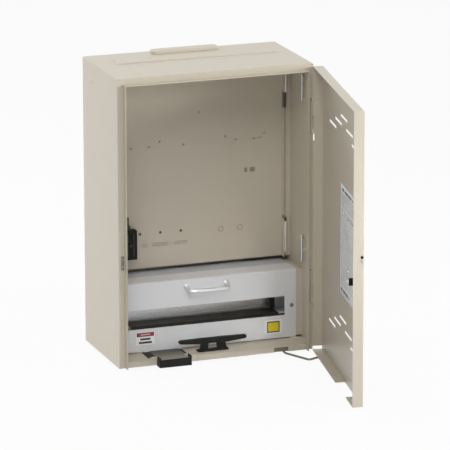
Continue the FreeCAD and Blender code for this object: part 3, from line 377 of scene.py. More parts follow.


# The lining brown and the ring beige are painted shade: darker copies of the panel's enamel.
pocket_shade_enamel = finish_material("pocket_shade_enamel", enamel_skin, {"Colour": POCKET_SHADE_BROWN, "Gloss": 0.5, "Drift": 0.3})
ring_shade_enamel = finish_material("ring_shade_enamel", enamel_skin, {"Colour": RING_SHADE_BEIGE, "Gloss": 0.45})
plug_brown = finish_material("plug_brown", enamel_skin, {"Colour": PLUG_BROWN, "Gloss": 0.5})
rings = [pressed_ring(middle) for middle in RINGS]
add_grids("knockout_rings", rings, ring_shade_enamel, "panel", slot="beige_paint")
plugs = round_heads(PLUGS, FORWARD, PLUG_RADIUS, PLUG_RISE, PLUG_FLAT)
add_grids("panel_plugs", plugs, plug_brown, "panel", slot="black_plastic")
linings = [square_lining(*span) for span in POCKET_SPANS]
add_grids("stamping_shade_linings", linings, pocket_shade_enamel, "panel", slot="beige_paint")

# Seal on the hinge post
# A soft extruded bead of beige rubber, pressed on the post's edge. It closes the slit between the post and
# the inner panel.
SEAL_BEIGE = (0.5, 0.455, 0.375, 1.0)
SEAL_WIDTH = (222.6, 228.4)
SEAL_FRONT = 151.4
SEAL_HALF = 0.9
SEAL_RUN = (193.0, 665.5)
BEAD_COLUMNS = 24
BEAD_ROWS = 28
BEAD_END_ROWS = 5


def upright_bead(width, y, half, run, place=from_front):
    """A bead run upright: its section is an oval from one x to the other, and a few short rows at each end
    draw it in to a point as the root of one less the squared share of the way."""
    side = once_around(BEAD_COLUMNS)
    share = np.linspace(0, 1, BEAD_END_ROWS)
    fall = np.sqrt(1 - share ** 2)
    low, high = run[0] + half, run[1] - half
    middle = np.linspace(low, high, BEAD_ROWS + 2)[1:-1]
    z = np.concatenate([low - (share * half)[::-1], middle, high + share * half])
    size = np.concatenate([fall[::-1], np.ones(BEAD_ROWS), fall])
    x = (width[0] + width[1]) / 2 + (width[1] - width[0]) / 2 * size[:, None] * np.cos(side)
    return place(x, y + half * size[:, None] * np.sin(side), np.repeat(z[:, None], BEAD_COLUMNS, axis=1))


seal_rubber = finish_material("seal_rubber", enamel_skin, {"Colour": SEAL_BEIGE, "Gloss": 0.55})
seal = upright_bead(SEAL_WIDTH, SEAL_FRONT, SEAL_HALF, SEAL_RUN)
add_grids("post_seal", [seal], seal_rubber, "case", slot="beige_paint")

# Cable entry cover on the top
# Pressed sheet cap with soft rounded ends, laid over the cable entry in the top of the case. It is
# enamelled with the case.
SHARP_CREASE = math.radians(38)
TRIANGLE_MERGE = 0.000003
SHEET_EDGE = 0.0003
COVER_EDGE = 0.0006


def smooth_skin(node, material):
    """The CAD piece's own skin, its triangles merged, smooth except at its sharp creases."""
    mesh = nodes[node].data.copy()
    merge_points(mesh, TRIANGLE_MERGE, turn_outward=False)
    smooth_to_creases(mesh, SHARP_CREASE)
    return add_piece(node + "_finished", mesh, material, nodes[node]["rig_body"], node=node)


def rolled_edges(node, material, width=SHEET_EDGE, segments=2):
    """The same skin with each sharp crease rolled over by the width."""
    piece = smooth_skin(node, material)
    bevel = piece.modifiers.new("rolled_edge", "BEVEL")
    bevel.width = width
    bevel.segments = segments
    bevel.limit_method = "ANGLE"
    bevel.angle_limit = SHARP_CREASE
    bevel.use_clamp_overlap = False
    flats = piece.modifiers.new("flat_faces", "WEIGHTED_NORMAL")
    flats.keep_sharp = True
    flats.weight = 90


rolled_edges("top_entry_cover", beige_enamel, COVER_EDGE, segments=3)

# Door
# Folded pan with ten louvres pressed in two rising rows, sprayed in the same enamel as the case. It hangs on
# loose pins at the case's front corner and is shown open.
dress(beige_enamel, "door_panel")

# Hinge cover strips
# Narrow strips along the door's hinge return, over the hinge slots, so little light shows through them:
# dark brown beside the knuckles, which paints the shade in the slots, and enamelled with the door below
# the lower one.
STRIP_SHADE_BROWN = (0.10, 0.085, 0.065, 1.0)
STRIP_WIDTH = (239.9, 241.1)
STRIP_FRONT = -5.4
STRIP_HALF = 3.0
STRIP_RUNS = ((121.0, 202.0), (531.0, 608.0))
FOOT_RUN = (90.0, 120.5)
DOOR_AXIS = (236.0, 1.6)
DOOR_OPEN = math.radians(80.25)
OPEN_COSINE = math.cos(DOOR_OPEN)
OPEN_SINE = math.sin(DOOR_OPEN)


def on_door(x, y, z):
    """A place given on the closed door, in millimetres, turned about the hinge pins to the open rest."""
    dx, dy = x - DOOR_AXIS[0], y - DOOR_AXIS[1]
    turned_x = DOOR_AXIS[0] + dx * OPEN_COSINE - dy * OPEN_SINE
    turned_y = DOOR_AXIS[1] + dx * OPEN_SINE + dy * OPEN_COSINE
    return from_front(turned_x, turned_y, z)


def door_bead(run):
    """A strip along the door's hinge return, from one height to the other."""
    return upright_bead(STRIP_WIDTH, STRIP_FRONT, STRIP_HALF, run, on_door)


# The strips' dark brown is painted shade in the hinge slots.
strip_shade_brown = finish_material("strip_shade_brown", enamel_skin, {"Colour": STRIP_SHADE_BROWN, "Gloss": 0.5})
add_grids("hinge_shade_strips", [door_bead(run) for run in STRIP_RUNS], strip_shade_brown, "door", slot="rod_steel")
add_grids("hinge_strip_foot", [door_bead(FOOT_RUN)], beige_enamel, "door", slot="beige_paint")

# Door keeper
# Small steel plate with a bronzed finish, held behind the left band by two rivets. The lock's cam catches
# behind it when the door is shut.
KEEPER_BRONZE = (0.23, 0.195, 0.155, 1.0)
keeper_bronze = finish_material("keeper_bronze", enamel_skin, {"Colour": KEEPER_BRONZE, "Gloss": 0.35})
rolled_edges("door_keeper", keeper_bronze)

# Escutcheon, shelf and rail brackets
# Folded sheet in light grey satin enamel; the shelf's grey is darker, which is painted shade. The pull
# handle is a bent bar in a brighter grey with a thin clear coat.
GREY = (0.785, 0.80, 0.82, 1.0)
# The shelf's darker grey is painted shade.
SHELF_SHADE_GREY = (0.575, 0.595, 0.63, 1.0)
HANDLE_GREY = (0.88, 0.885, 0.895, 1.0)
grey_enamel = finish_material("grey_enamel", enamel_skin, {"Colour": GREY, "Gloss": 0.32, "Peel": 0.2})
shelf_shade_enamel = finish_material("shelf_shade_enamel", enamel_skin,
                               {"Colour": SHELF_SHADE_GREY, "Gloss": 0.4, "Peel": 0.2})
handle_enamel = finish_material("handle_enamel", enamel_skin,
                                {"Colour": HANDLE_GREY, "Gloss": 0.27, "Peel": 0.1},
                                metallic=0.72, Coat_Weight=0.3, Coat_Roughness=0.12)
dress(grey_enamel, "escutcheon", "left_rail_bracket", "right_rail_bracket")
dress(shelf_shade_enamel, "divider_shelf")
smooth_skin("escutcheon_handle", handle_enamel)

# Zinc-plated hardware
# Door hinge pins, mounting rail and the panel's latch catch, drawn or pressed from steel and plated in
# bright zinc with a faint spangle. Most screws and the rivets further on are plated the same.
ZINC = (0.6, 0.6, 0.6, 1.0)
CRYSTALS_A_METRE = 220.0
CRYSTAL_DARKEST = 0.92
CRYSTAL_SWING = 0.12
DRAWN_LINES = (1800.0, 1800.0, 60.0)


def zinc_group():
    """Plated steel: crystal cells shift the colour and gloss, and noise stretched along Z gives the drawn
    lines in the relief."""
    tree, given, result = new_group("zinc_plate", [("Colour", "Color", ZINC), ("Gloss", "Float", 0.3)])
    at = place_on_piece(tree)
    crystals = put(tree, "TexVoronoi", Vector=at, Scale=CRYSTALS_A_METRE).outputs["Color"]
    shade = put(tree, "SeparateColor", Color=crystals).outputs[0]
    value = level(tree, CRYSTAL_DARKEST, shade, CRYSTAL_SWING)
    tree.links.new(shaded(tree, given["Colour"], value), result["Colour"])
    tree.links.new(level(tree, given["Gloss"], shade, CRYSTAL_SWING), result["Roughness"])
    stretched = put(tree, "Mapping", Vector=at, Scale=DRAWN_LINES).outputs[0]
    tree.links.new(noise(tree, stretched, 1.0, 2.0), result["Height"])
    return tree


zinc_skin = zinc_group()
zinc = finish_material("zinc_plate", zinc_skin, {}, metallic=1.0, bump=0.00005)
dress(zinc, "panel_latch_catch")
rolled_edges("mounting_rail", zinc)
smooth_skin("door_hinge_pins", zinc)

# Front hinge leaves
# Spare leaves screwed to the right wall. Each was sprayed with the case, so only its rear knuckle is still
# bare metal. The leaf's beige is a tenth darker than the case's, and a dark line lies where the leaf turns
# into the knuckle; both are painted shade.
KNUCKLE_FRONT = -0.1972
SHADE_LINE_MIDDLE = -0.1982
SHADE_LINE_HALF = 0.0009
KNUCKLE_METAL = (0.80, 0.79, 0.80, 1.0)
SHADE_LINE_BROWN = (0.10, 0.085, 0.07, 1.0)
LEAF_SHADED_BEIGE = (0.56, 0.52, 0.43, 1.0)


def place_along(tree, axis):
    """The place on the piece along one axis of the frame, in metres."""
    return put(tree, "SeparateXYZ", Vector=place_on_piece(tree)).outputs[axis]


def colour_skin(material, colour):
    """Wires a colour worked out in the material into its skin."""
    material.node_tree.links.new(colour, material.node_tree.nodes["skin"].inputs["Colour"])


leaf_enamel = finish_material("leaf_enamel", enamel_skin, {})
tree = leaf_enamel.node_tree
depth = place_along(tree, "Y")
bare = sums(tree, "GREATER_THAN", depth, KNUCKLE_FRONT)
# A narrow dark brown band at the turn into the knuckle is painted shade.
in_shade_line = sums(tree, "LESS_THAN", sums(tree, "ABSOLUTE", sums(tree, "SUBTRACT", depth, SHADE_LINE_MIDDLE)), SHADE_LINE_HALF)
coated = blend_colours(tree, bare, LEAF_SHADED_BEIGE, KNUCKLE_METAL)
colour_skin(leaf_enamel, blend_colours(tree, in_shade_line, coated, SHADE_LINE_BROWN))
tree.links.new(bare, tree.nodes["Principled BSDF"].inputs["Metallic"])
for leaf in ("upper_front_hinge_leaf", "lower_front_hinge_leaf"):
    rolled_edges(leaf, leaf_enamel)

# Panel hinges
# Lift-off hinges of the inner panel: satin nickel barrels and pins, with a dark brown stop under the upper
# hinge and a cap of the same over the lower one; their dark brown is painted shade in the hinge slots.
NICKEL = (0.80, 0.755, 0.69, 1.0)
HINGE_SHADE_BROWN = (0.075, 0.062, 0.05, 1.0)
HINGE_EDGE = 0.0004
nickel = finish_material("satin_nickel", zinc_skin, {"Colour": NICKEL, "Gloss": 0.42},
                         metallic=0.45, bump=0.00003)
hinge_shade_brown = finish_material("hinge_shade_brown", enamel_skin, {"Colour": HINGE_SHADE_BROWN, "Gloss": 0.5})
smooth_skin("panel_hinge_pins", nickel)
for half in ("upper_panel_hinge_case_half", "lower_panel_hinge_case_half", "upper_panel_hinge_leaf",
             "lower_panel_hinge_leaf"):
    rolled_edges(half, nickel, HINGE_EDGE)
# The stop and cap are dark pieces that stand for the shade in the hinge slots.
stop = upright_bead(width=(222.3, 228.0), y=148.0, half=2.6, run=(553.0, 591.5))
stop_cap = upright_bead(width=(222.2, 227.6), y=143.2, half=2.7, run=(277.6, 289.0))
add_grids("hinge_stop", [stop], hinge_shade_brown, "case", slot="rod_steel")
add_grids("hinge_stop_cap", [stop_cap], hinge_shade_brown, "panel", slot="rod_steel")

# Panel latch parts
# Hook and sliding bolt of the inner panel's latch, in dark bronzed steel. Both are carried by the moulded
# latch block at the panel's left edge.
LATCH_BRONZE = (0.06, 0.054, 0.04, 1.0)
LATCH_EDGE = 0.0004
latch_bronze = finish_material("latch_bronze", zinc_skin, {"Colour": LATCH_BRONZE, "Gloss": 0.4},
                               metallic=0.6, bump=0.00005)
for part in ("panel_latch_hook", "panel_latch_bolt"):
    rolled_edges(part, latch_bronze, LATCH_EDGE)

# Lock
# Cam lock through the door: turned barrel and cam in dull chrome, hexagon nut in black-passivated steel. The
# barrel's threaded part behind the door is blackened as the nut is.
BARREL_SHOULDER = 0.1845
LOCK_CHROME = (0.62, 0.61, 0.59, 1.0)
LOCK_BLACK = (0.03, 0.03, 0.03, 1.0)
NUT_BLACK = (0.05, 0.05, 0.052, 1.0)
LOCK_EDGE = 0.0004
chrome = finish_material("lock_chrome", zinc_skin, {"Colour": LOCK_CHROME, "Gloss": 0.16},
                         metallic=1.0, bump=0.00002)
black_steel = finish_material("black_steel", zinc_skin, {"Colour": NUT_BLACK, "Gloss": 0.3},
                              metallic=0.7, bump=0.00004)
barrel_finish = finish_material("barrel_finish", zinc_skin, {"Gloss": 0.16}, metallic=1.0, bump=0.00002)
tree = barrel_finish.node_tree
behind = sums(tree, "LESS_THAN", place_along(tree, "X"), BARREL_SHOULDER)
colour_skin(barrel_finish, blend_colours(tree, behind, LOCK_CHROME, LOCK_BLACK))
rolled_edges("lock_barrel", barrel_finish, LOCK_EDGE)
rolled_edges("lock_plug", chrome)
rolled_edges("lock_nut", black_steel, LOCK_EDGE)
rolled_edges("lock_cam", chrome, LOCK_EDGE)

# Screw and rivet heads
# Pan heads with a cross recess, and plain domed rivets, most of them zinc-plated. Each stands where the
# plain turned head of the frame is and turns or swings with it.
SCREW_GREY = (0.30, 0.30, 0.305, 1.0)
LACQUER_RED = (0.09, 0.016, 0.014, 1.0)
HEAD_FLAT = 0.35
CAPTIVE_SCREW = dict(radius=0.0048, rise=0.003, shank=(0.0024, 0.014), recess=0.0019)
CAPTIVE_SCREWS = {"left": from_front(-210.4, 63.7, 94), "right": from_front(210.4, 63.7, 94)}
LEAF_SCREW = dict(radius=0.0036, rise=0.0018, shank=(0.0018, 0.0016), recess=0.001)
LEAF_SCREWS = [from_front(236.8, 48, z) for z in (232, 621)]
RAIL_SCREW = dict(radius=0.0042, rise=0.0026, shank=(0.002, 0.007), recess=0.0015)
RAIL_SCREWS = [from_front(x, 124.8, 94) for x in (-183, 183)]
CLEAT_SCREW = dict(radius=0.0044, rise=0.0024, shank=(0.0022, 0.009), recess=0.0014)
CLEAT_SCREWS = [from_front(x, 29, 11.6) for x in (-22, 22)]
KEEPER_RIVET = dict(radius=0.0017, rise=0.0005, shank=(0.0012, 0.0014))
KEEPER_RIVETS = [from_front(-229.8, -1.4, z) for z in (244.5, 262.8)]
CAM_SCREW = dict(radius=0.0042, rise=0.0024, shank=(0.002, 0.0025), recess=0.0014)
CAM_SCREWS = [on_door(-204, 5.5, 284)]
EDGE_SCREW = dict(radius=0.0036, rise=0.0024, shank=(0.0018, 0.0001), recess=0.0012)
EDGE_SCREWS = [on_door(-234, -21.8, 338)]
COVER_SCREW = dict(radius=0.003, rise=0.0013, shank=(0.0016, 0.006), recess=0.0008)
COVER_SCREWS = [from_front(x, 95, 75) for x in (-156, -54, 48)]
UPWARD = (0, 0, 1)
DOWNWARD = (0, 0, -1)


def door_turned(x, y):
    """A direction on the closed door, turned to the open rest."""
    return (x * OPEN_COSINE - y * OPEN_SINE, x * OPEN_SINE + y * OPEN_COSINE, 0.0)


def fixings(name, node, body, places, outward, radius, rise, shank, recess=0.0, material=zinc):
    """Pan or domed heads, each with a shank of its own radius and length, in place of one CAD piece."""
    grids = round_heads(places, outward, radius, rise, HEAD_FLAT, recess, (shank[0] / radius, shank[1]))
    add_grids(name, grids, material, body, node=node)


grey_steel = finish_material("grey_steel", zinc_skin, {"Colour": SCREW_GREY, "Gloss": 0.34},
                             metallic=0.9, bump=0.00004)
for hand, place in CAPTIVE_SCREWS.items():
    fixings(hand + "_captive_head", hand + "_captive_screw", hand + "_screw", [place], FORWARD,
            material=grey_steel, **CAPTIVE_SCREW)
fixings("leaf_screw_heads", "front_leaf_screws", "case", LEAF_SCREWS, LEFTWARD, **LEAF_SCREW)
fixings("rail_screw_heads", "rail_screws", "case", RAIL_SCREWS, FORWARD, **RAIL_SCREW)
fixings("cleat_screw_heads", "cleat_screws", "case", CLEAT_SCREWS, DOWNWARD, **CLEAT_SCREW)
fixings("keeper_rivet_heads", "keeper_rivets", "case", KEEPER_RIVETS, FORWARD, **KEEPER_RIVET)
fixings("cam_screw_head", "lock_cam_screw", "lock", CAM_SCREWS, door_turned(0, 1), **CAM_SCREW)
fixings("edge_screw_head", "door_edge_screw", "door", EDGE_SCREWS, door_turned(-1, 0), **EDGE_SCREW)
red_lacquer = finish_material("red_lacquer", enamel_skin, {"Colour": LACQUER_RED, "Gloss": 0.4})
fixings("cover_screw_heads", "busbar_cover_screws", "case", COVER_SCREWS, UPWARD, material=red_lacquer,
        **COVER_SCREW)

# Door stay
# Steel wire, olive from its passivated plating, bent under the floor and led through a bronzed guard plate.
# It holds the door open.
WIRE_OLIVE = (0.27, 0.235, 0.155, 1.0)
GUARD_BROWN = (0.22, 0.185, 0.135, 1.0)
wire = finish_material("passivated_wire", zinc_skin, {"Colour": WIRE_OLIVE, "Gloss": 0.38},
                       metallic=0.55, bump=0.00005)
guard_brown = finish_material("guard_brown", enamel_skin, {"Colour": GUARD_BROWN, "Gloss": 0.45})
smooth_skin("stay_rod", wire)
dress(wire, "stay_collar")
dress(guard_brown, "stay_guide")

# Entry slide
# Flat steel slide in an olive-brown enamel, pale at its front end and darker towards the rear, which is
# painted shade under the escutcheon. It slides out to the front and carries a black moulded cap.
SLIDE_PALE = (0.31, 0.285, 0.225, 1.0)
SLIDE_SHADE_DARK = (0.055, 0.05, 0.038, 1.0)
SHADE_START = -0.262
SHADE_END = -0.212
slide_enamel = finish_material("slide_enamel", enamel_skin, {"Gloss": 0.42})
tree = slide_enamel.node_tree
# Darker from the front end towards the rear: painted shade.
along = place_along(tree, "Y")
toward_shade = put(tree, "MapRange", Value=along, From_Min=SHADE_START, From_Max=SHADE_END).outputs[0]
colour_skin(slide_enamel, blend_colours(tree, toward_shade, SLIDE_PALE, SLIDE_SHADE_DARK))
rolled_edges("entry_slide", slide_enamel)

# Black mouldings
# Cleat, latch block, busbar cover, slide cap and runners, rail stop and edge plug in satin black
# thermoplastic, with rounded moulded edges. The cleat is screwed from below and the cover from above.
MOULDING_BLACK = (0.007, 0.007, 0.0066, 1.0)
WARM_BLACK = (0.03, 0.026, 0.022, 1.0)
RIB_LIT_BLACK = (0.045, 0.045, 0.042, 1.0)
CLOUDS_A_METRE = 30.0
CLOUD_DARKEST = 0.85
CLOUD_SWING = 0.3
CLOUD_GLOSS = 0.1
GRAINS_A_METRE = 1500.0
MOULDED_EDGES = (("horn_cleat", 0.0012, 3), ("slide_cap", 0.0007, 3), ("slide_rails", 0.0003, 2),
                 ("rail_end_stop", 0.0008, 3), ("panel_latch_block", 0.0008, 3))
CROWNS = [from_front(x, 29, 44.4) for x in (-21, 23)]
CROWN_RADIUS = 0.0042
CROWN_RISE = 0.0012
RIB_MIDDLES = (-186, -170, -156)
RIB_SIDE = 1.5
RIB_FRONT = 139.8
RIB_HALF = 1.3
RIB_RUN = (226.0, 282.0)


def moulding_group():
    """Moulded plastic: a fine spark-eroded grain in the relief and small shifts of tone and gloss."""
    tree, given, result = new_group("satin_moulding", [
        ("Colour", "Color", MOULDING_BLACK), ("Gloss", "Float", 0.46)])
    at = place_on_piece(tree)
    clouds = noise(tree, at, CLOUDS_A_METRE, 3.0)
    value = level(tree, CLOUD_DARKEST, clouds, CLOUD_SWING)
    tree.links.new(shaded(tree, given["Colour"], value), result["Colour"])
    tree.links.new(level(tree, given["Gloss"], clouds, CLOUD_GLOSS), result["Roughness"])
    tree.links.new(noise(tree, at, GRAINS_A_METRE, 2.0), result["Height"])
    return tree


moulding_skin = moulding_group()
black_moulding = finish_material("black_moulding", moulding_skin, {}, bump=0.00008, Specular_IOR_Level=0.25)
warm_moulding = finish_material("warm_moulding", moulding_skin, {"Colour": WARM_BLACK}, bump=0.00008,
                                Specular_IOR_Level=0.4)
# The latch block's ribs are a lighter black than the block, a painted highlight where they catch the light.
rib_lit_moulding = finish_material("rib_lit_moulding", moulding_skin, {"Colour": RIB_LIT_BLACK, "Gloss": 0.5},
                               bump=0.00008)
dress(black_moulding, "door_edge_plug")
for part, edge, segments in MOULDED_EDGES:
    rolled_edges(part, black_moulding, edge, segments)
rolled_edges("busbar_cover", warm_moulding, COVER_EDGE)
crowns = round_heads(CROWNS, UPWARD, CROWN_RADIUS, CROWN_RISE)
add_grids("cleat_crowns", crowns, black_moulding, "case", slot="black_plastic")
ribs = [upright_bead((x - RIB_SIDE, x + RIB_SIDE), RIB_FRONT, RIB_HALF, RIB_RUN) for x in RIB_MIDDLES]
add_grids("latch_block_ribs", ribs, rib_lit_moulding, "panel", slot="black_plastic")

# Labels
# Printed adhesive sheets with generic bars and lines: an instruction sheet inside the door and two small
# plates on the escutcheon, each a little bowed off its seat between its stuck edges.
SHEET_WHITE = (0.97, 0.975, 0.99, 1.0)
STICKER_WHITE = (0.99, 0.99, 0.99, 1.0)
INK = (0.14, 0.145, 0.16, 1.0)
GREY_INK = (0.42, 0.43, 0.46, 1.0)
BLACK_INK = (0.05, 0.05, 0.05, 1.0)
BAND_BLACK = (0.03, 0.025, 0.025, 1.0)
BAND_RED = (0.42, 0.02, 0.03, 1.0)
BAND_PINK = (0.75, 0.6, 0.6, 1.0)
FRAME_BLACK = (0.03, 0.028, 0.02, 1.0)
FIELD_YELLOW = (0.80, 0.66, 0.02, 1.0)
ROW_SHIFT = 7.3
WORD_LEVEL = 0.42
FILM = 0.0002
BOW = 0.0001
SHEET_STEPS = 25
DOOR_SHEET_CORNERS = [on_door(x, -24.75, 196) for x in (27, -157)]
DOOR_SHEET_UP = (0, 0, 0.261)
LEFT_PLATE = dict(corner=from_front(-177, 63.75, 31.5), across=(0.045, 0, 0), up=(0, 0, 0.0315))
RIGHT_PLATE = dict(corner=from_front(143, 63.75, 27), across=(0.044, 0, 0), up=(0, 0, 0.034))


def ink_group():
    """One printed block: inside its four bounds on the sheet's UV, rows are ruled where the row's own share
    lies within half the fill of the middle, and noise along each row breaks it into words."""
    tree, given, result = new_group(
        "ruled_ink",
        [("Left", "Float", 0.0), ("Right", "Float", 1.0), ("Low", "Float", 0.0), ("High", "Float", 1.0),
         ("Rows", "Float", 1.0), ("Fill", "Float", 1.0), ("Words", "Float", 0.0), ("Density", "Float", 1.0)],
        [("Ink", "Float")])
    spot = put(tree, "SeparateXYZ", Vector=put(tree, "TexCoord").outputs["UV"]).outputs
    within_sides = sums(tree, "MULTIPLY", sums(tree, "GREATER_THAN", spot["X"], given["Left"]),
                        sums(tree, "LESS_THAN", spot["X"], given["Right"]))
    within_ends = sums(tree, "MULTIPLY", sums(tree, "GREATER_THAN", spot["Y"], given["Low"]),
                       sums(tree, "LESS_THAN", spot["Y"], given["High"]))
    height = sums(tree, "SUBTRACT", given["High"], given["Low"])
    share = sums(tree, "DIVIDE", sums(tree, "SUBTRACT", spot["Y"], given["Low"]), height)
    row = sums(tree, "MULTIPLY", share, given["Rows"])
    off_middle = sums(tree, "ABSOLUTE", sums(tree, "SUBTRACT", sums(tree, "FRACT", row), 0.5))
    ruled = sums(tree, "LESS_THAN", off_middle, sums(tree, "MULTIPLY", given["Fill"], 0.5))
    where = put(tree, "CombineXYZ", X=sums(tree, "MULTIPLY", spot["X"], given["Words"]),
                Y=sums(tree, "MULTIPLY", sums(tree, "FLOOR", row), ROW_SHIFT)).outputs[0]
    spaced = sums(tree, "MAXIMUM", sums(tree, "GREATER_THAN", noise(tree, where, 1.0, 1.0), WORD_LEVEL),
                  sums(tree, "LESS_THAN", given["Words"], 0.5))
    inside = sums(tree, "MULTIPLY", within_sides, within_ends)
    ink = sums(tree, "MULTIPLY", sums(tree, "MULTIPLY", inside, ruled), spaced)
    tree.links.new(sums(tree, "MULTIPLY", ink, given["Density"]), result["Ink"])
    return tree


ruled_ink = ink_group()


def printed_material(name, paper, blocks, gloss=0.35):
    """Paper or film with blocks printed one over another. Each block gives its left, right, low and high
    bounds, its ink, and what sets it apart from one solid bar."""
    material = finish_material(name, moulding_skin, {"Gloss": gloss}, bump=0.00004)
    tree = material.node_tree
    colour = paper
    for (left, right, low, high), ink, look in blocks:
        block = tree.nodes.new("ShaderNodeGroup")
        block.node_tree = ruled_ink
        for key, value in dict(Left=left, Right=right, Low=low, High=high, **look).items():
            block.inputs[key].default_value = value
        colour = blend_colours(tree, block.outputs["Ink"], colour, ink)
    colour_skin(material, colour)
    return material


def stuck_sheet(name, node, body, material, outward, corner, across, up):
    """A label from its lower left corner, its two sides and the way it faces: the surface bows out as the
    product of two half sine waves, carries UVs along its sides and is thickened back to its seat."""
    side = np.linspace(0, 1, SHEET_STEPS)
    v, u = np.meshgrid(side, side, indexing="ij")
    lift = BOW * np.sin(np.pi * u) * np.sin(np.pi * v)
    points = np.asarray(corner) + u[..., None] * np.asarray(across) + v[..., None] * np.asarray(up)
    points = points + lift[..., None] * np.asarray(outward)
    mesh = grid_mesh(name, [points], around=False)
    if mesh.polygons[0].normal.dot(Vector(outward)) < 0:
        mesh.flip_normals()
    corners = np.empty(len(mesh.loops), dtype=np.int32)
    mesh.loops.foreach_get("vertex_index", corners)
    layer = mesh.uv_layers.new(name="print")
    layer.data.foreach_set("uv", np.stack([u.ravel(), v.ravel()], axis=-1)[corners].ravel())
    solid = add_piece(name, mesh, material, body, node=node).modifiers.new("film", "SOLIDIFY")
    solid.thickness = FILM
    solid.offset = -1.0


door_sheet = printed_material("door_sheet", SHEET_WHITE, [
    ((0.0, 0.025, 0.0, 1.0), INK, {"Density": 0.6}),
    ((0.12, 0.80, 0.945, 0.97), INK, {"Words": 9}),
    ((0.08, 0.92, 0.80, 0.93), INK, {"Rows": 6, "Fill": 0.45, "Words": 26, "Density": 0.6}),
    ((0.10, 0.30, 0.725, 0.785), GREY_INK, {"Density": 0.6}),
    ((0.14, 0.26, 0.735, 0.775), SHEET_WHITE, {}),
    ((0.36, 0.86, 0.73, 0.78), INK, {"Rows": 3, "Fill": 0.5, "Words": 18, "Density": 0.8}),
    ((0.05, 0.95, 0.703, 0.708), GREY_INK, {}),
    ((0.08, 0.92, 0.44, 0.69), GREY_INK, {"Rows": 15, "Fill": 0.45, "Words": 40, "Density": 0.65}),
    ((0.05, 0.95, 0.422, 0.427), GREY_INK, {}),
    ((0.08, 0.92, 0.09, 0.41), GREY_INK, {"Rows": 19, "Fill": 0.45, "Words": 46, "Density": 0.65}),
    ((0.08, 0.60, 0.035, 0.065), INK, {"Fill": 0.8, "Words": 12}),
], gloss=0.4)
near, far = DOOR_SHEET_CORNERS
stuck_sheet("instruction_sheet", "door_label", "door", door_sheet, door_turned(0, 1), near, far - near,
            DOOR_SHEET_UP)
left_plate_print = printed_material("left_plate_print", STICKER_WHITE, [
    ((0.03, 0.97, 0.66, 0.97), BAND_BLACK, {}),
    ((0.10, 0.90, 0.70, 0.93), BAND_RED, {}),
    ((0.24, 0.76, 0.77, 0.86), BAND_PINK, {"Density": 0.8}),
    ((0.22, 0.78, 0.38, 0.54), BLACK_INK, {}),
    ((0.14, 0.86, 0.12, 0.28), BLACK_INK, {}),
])
stuck_sheet("left_plate", "left_sticker", "face", left_plate_print, FORWARD, **LEFT_PLATE)
right_plate_print = printed_material("right_plate_print", STICKER_WHITE, [
    ((0.14, 0.86, 0.10, 0.90), FRAME_BLACK, {}),
    ((0.20, 0.80, 0.18, 0.82), FIELD_YELLOW, {}),
])
stuck_sheet("right_plate", "right_sticker", "face", right_plate_print, FORWARD, **RIGHT_PLATE)

# Floor and backdrop
# Plain pale floor just under the box, white to the camera with a light shadow.
# It isn't part of the object.
FLOOR_LEVEL = cad_box[0].z - 0.001
FLOOR_HALF = 30
FLOOR_CORNERS = ((-1, -1), (1, -1), (1, 1), (-1, 1))
FLOOR_GLOW = 0.93
WHITE = (1, 1, 1, 1)


def seen_directly(tree):
    """One for what the camera sees, straight, in a mirror image or through glass, and nothing for light that
    only brightens other pieces."""
    path = put(tree, "LightPath").outputs
    indirectly = sums(tree, "MAXIMUM", path["Is Glossy Ray"], path["Is Transmission Ray"])
    return sums(tree, "MAXIMUM", path["Is Camera Ray"], indirectly)


mesh = bpy.data.meshes.new("floor")
corners = [(FLOOR_HALF * x, FLOOR_HALF * y, FLOOR_LEVEL) for x, y in FLOOR_CORNERS]
mesh.from_pydata(corners, [], [(0, 1, 2, 3)])
floor = bpy.data.objects.new("floor", mesh)
bpy.context.scene.collection.objects.link(floor)
floor_paint = bpy.data.materials.new("floor_paint")
floor_paint.use_nodes = True
tree = floor_paint.node_tree
shader = tree.nodes["Principled BSDF"]
shader.inputs["Base Color"].default_value = (0.8, 0.8, 0.8, 1.0)
shader.inputs["Roughness"].default_value = 0.9
glow = put(tree, "Emission", Color=WHITE, Strength=1.0)
share = sums(tree, "MULTIPLY", seen_directly(tree), FLOOR_GLOW)
mixed = put(tree, "MixShader", i0=share, i1=shader.outputs[0], i2=glow.outputs[0])
tree.links.new(mixed.outputs[0], tree.nodes["Material Output"].inputs["Surface"])
floor.data.materials.append(floor_paint)

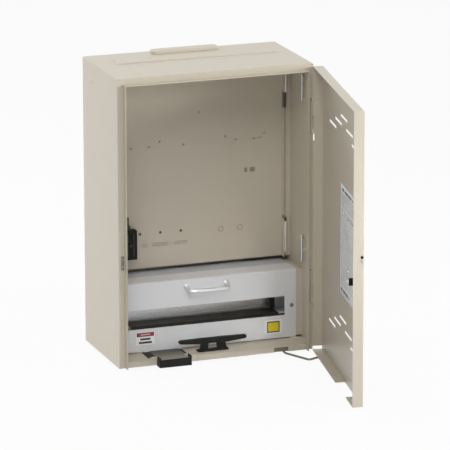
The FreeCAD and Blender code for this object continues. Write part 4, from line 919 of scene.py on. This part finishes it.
# Light
# A pale room with large soft lamps in front, above, behind to the left and to the right, and a narrow one
# aimed at the floor of the box. The two side lamps give no mirror image, so the top sheet doesn't glare.
ROOM_STRENGTH = 0.3
world = bpy.data.worlds.new("studio")
bpy.context.scene.world = world
world.use_nodes = True
tree = world.node_tree
room = tree.nodes["Background"]
room.inputs["Color"].default_value = WHITE
room.inputs["Strength"].default_value = ROOM_STRENGTH
white = put(tree, "Background", Color=WHITE, Strength=1.0)
both = put(tree, "MixShader", i0=seen_directly(tree), i1=room.outputs[0], i2=white.outputs[0])
tree.links.new(both.outputs[0], tree.nodes["World Output"].inputs["Surface"])


def soft_lamp(name, place, target, size, power, mirrored=True):
    """A square lamp of a size in metres and a power in watts, aimed from its place at its target."""
    lamp = bpy.data.lights.new(name, "AREA")
    lamp.size = size
    lamp.energy = power
    holder = bpy.data.objects.new(name, lamp)
    bpy.context.scene.collection.objects.link(holder)
    holder.location = place
    holder.rotation_mode = "QUATERNION"
    holder.rotation_quaternion = (Vector(target) - Vector(place)).to_track_quat("-Z", "Y")
    holder.visible_glossy = mirrored
    return lamp


soft_lamp("front_lamp", (-1.2, -3.0, 3.2), (0, -0.2, 0), size=1.6, power=40)
soft_lamp("high_lamp", (-0.3, -1.6, 4.1), (0, -0.2, 0), size=1.6, power=10)
soft_lamp("left_lamp", (-2.6, 2.2, 1.0), (-0.2, -0.1, 0), size=1.4, power=52, mirrored=False)
soft_lamp("top_lamp", (-0.3, 1.6, 2.6), (0, -0.1, 0.3), size=1.6, power=22)
soft_lamp("right_lamp", (2.3, -2.6, 0.8), (0.2, -0.5, 0), size=1.2, power=64, mirrored=False)
low_lamp = soft_lamp("low_lamp", (0.1, -2.6, 1.3), (0.0, -0.19, -0.28), size=0.3, power=0.14)
low_lamp.spread = math.radians(12)

# Camera
# Long lens from in front, a little to the left and above, at the viewing angle of the picture. Its place is
# in metres in the frame.
LOOK = Vector((0.325829, 0.910410, -0.254931))
ROLL = -0.0023
camera_data = bpy.data.cameras.new("camera")
camera_data.lens = 333.83
camera_data.sensor_width = 36.0
camera_data.clip_start = 0.1
camera_data.clip_end = 100.0
camera = bpy.data.objects.new("camera", camera_data)
bpy.context.scene.collection.objects.link(camera)
camera.location = (-3.1386, -9.0841, 2.4494)
camera.rotation_mode = "QUATERNION"
camera.rotation_quaternion = LOOK.to_track_quat("-Z", "Y") @ Quaternion((0, 0, 1), ROLL)
bpy.context.scene.camera = camera
bpy.context.scene.view_settings.view_transform = "Standard"
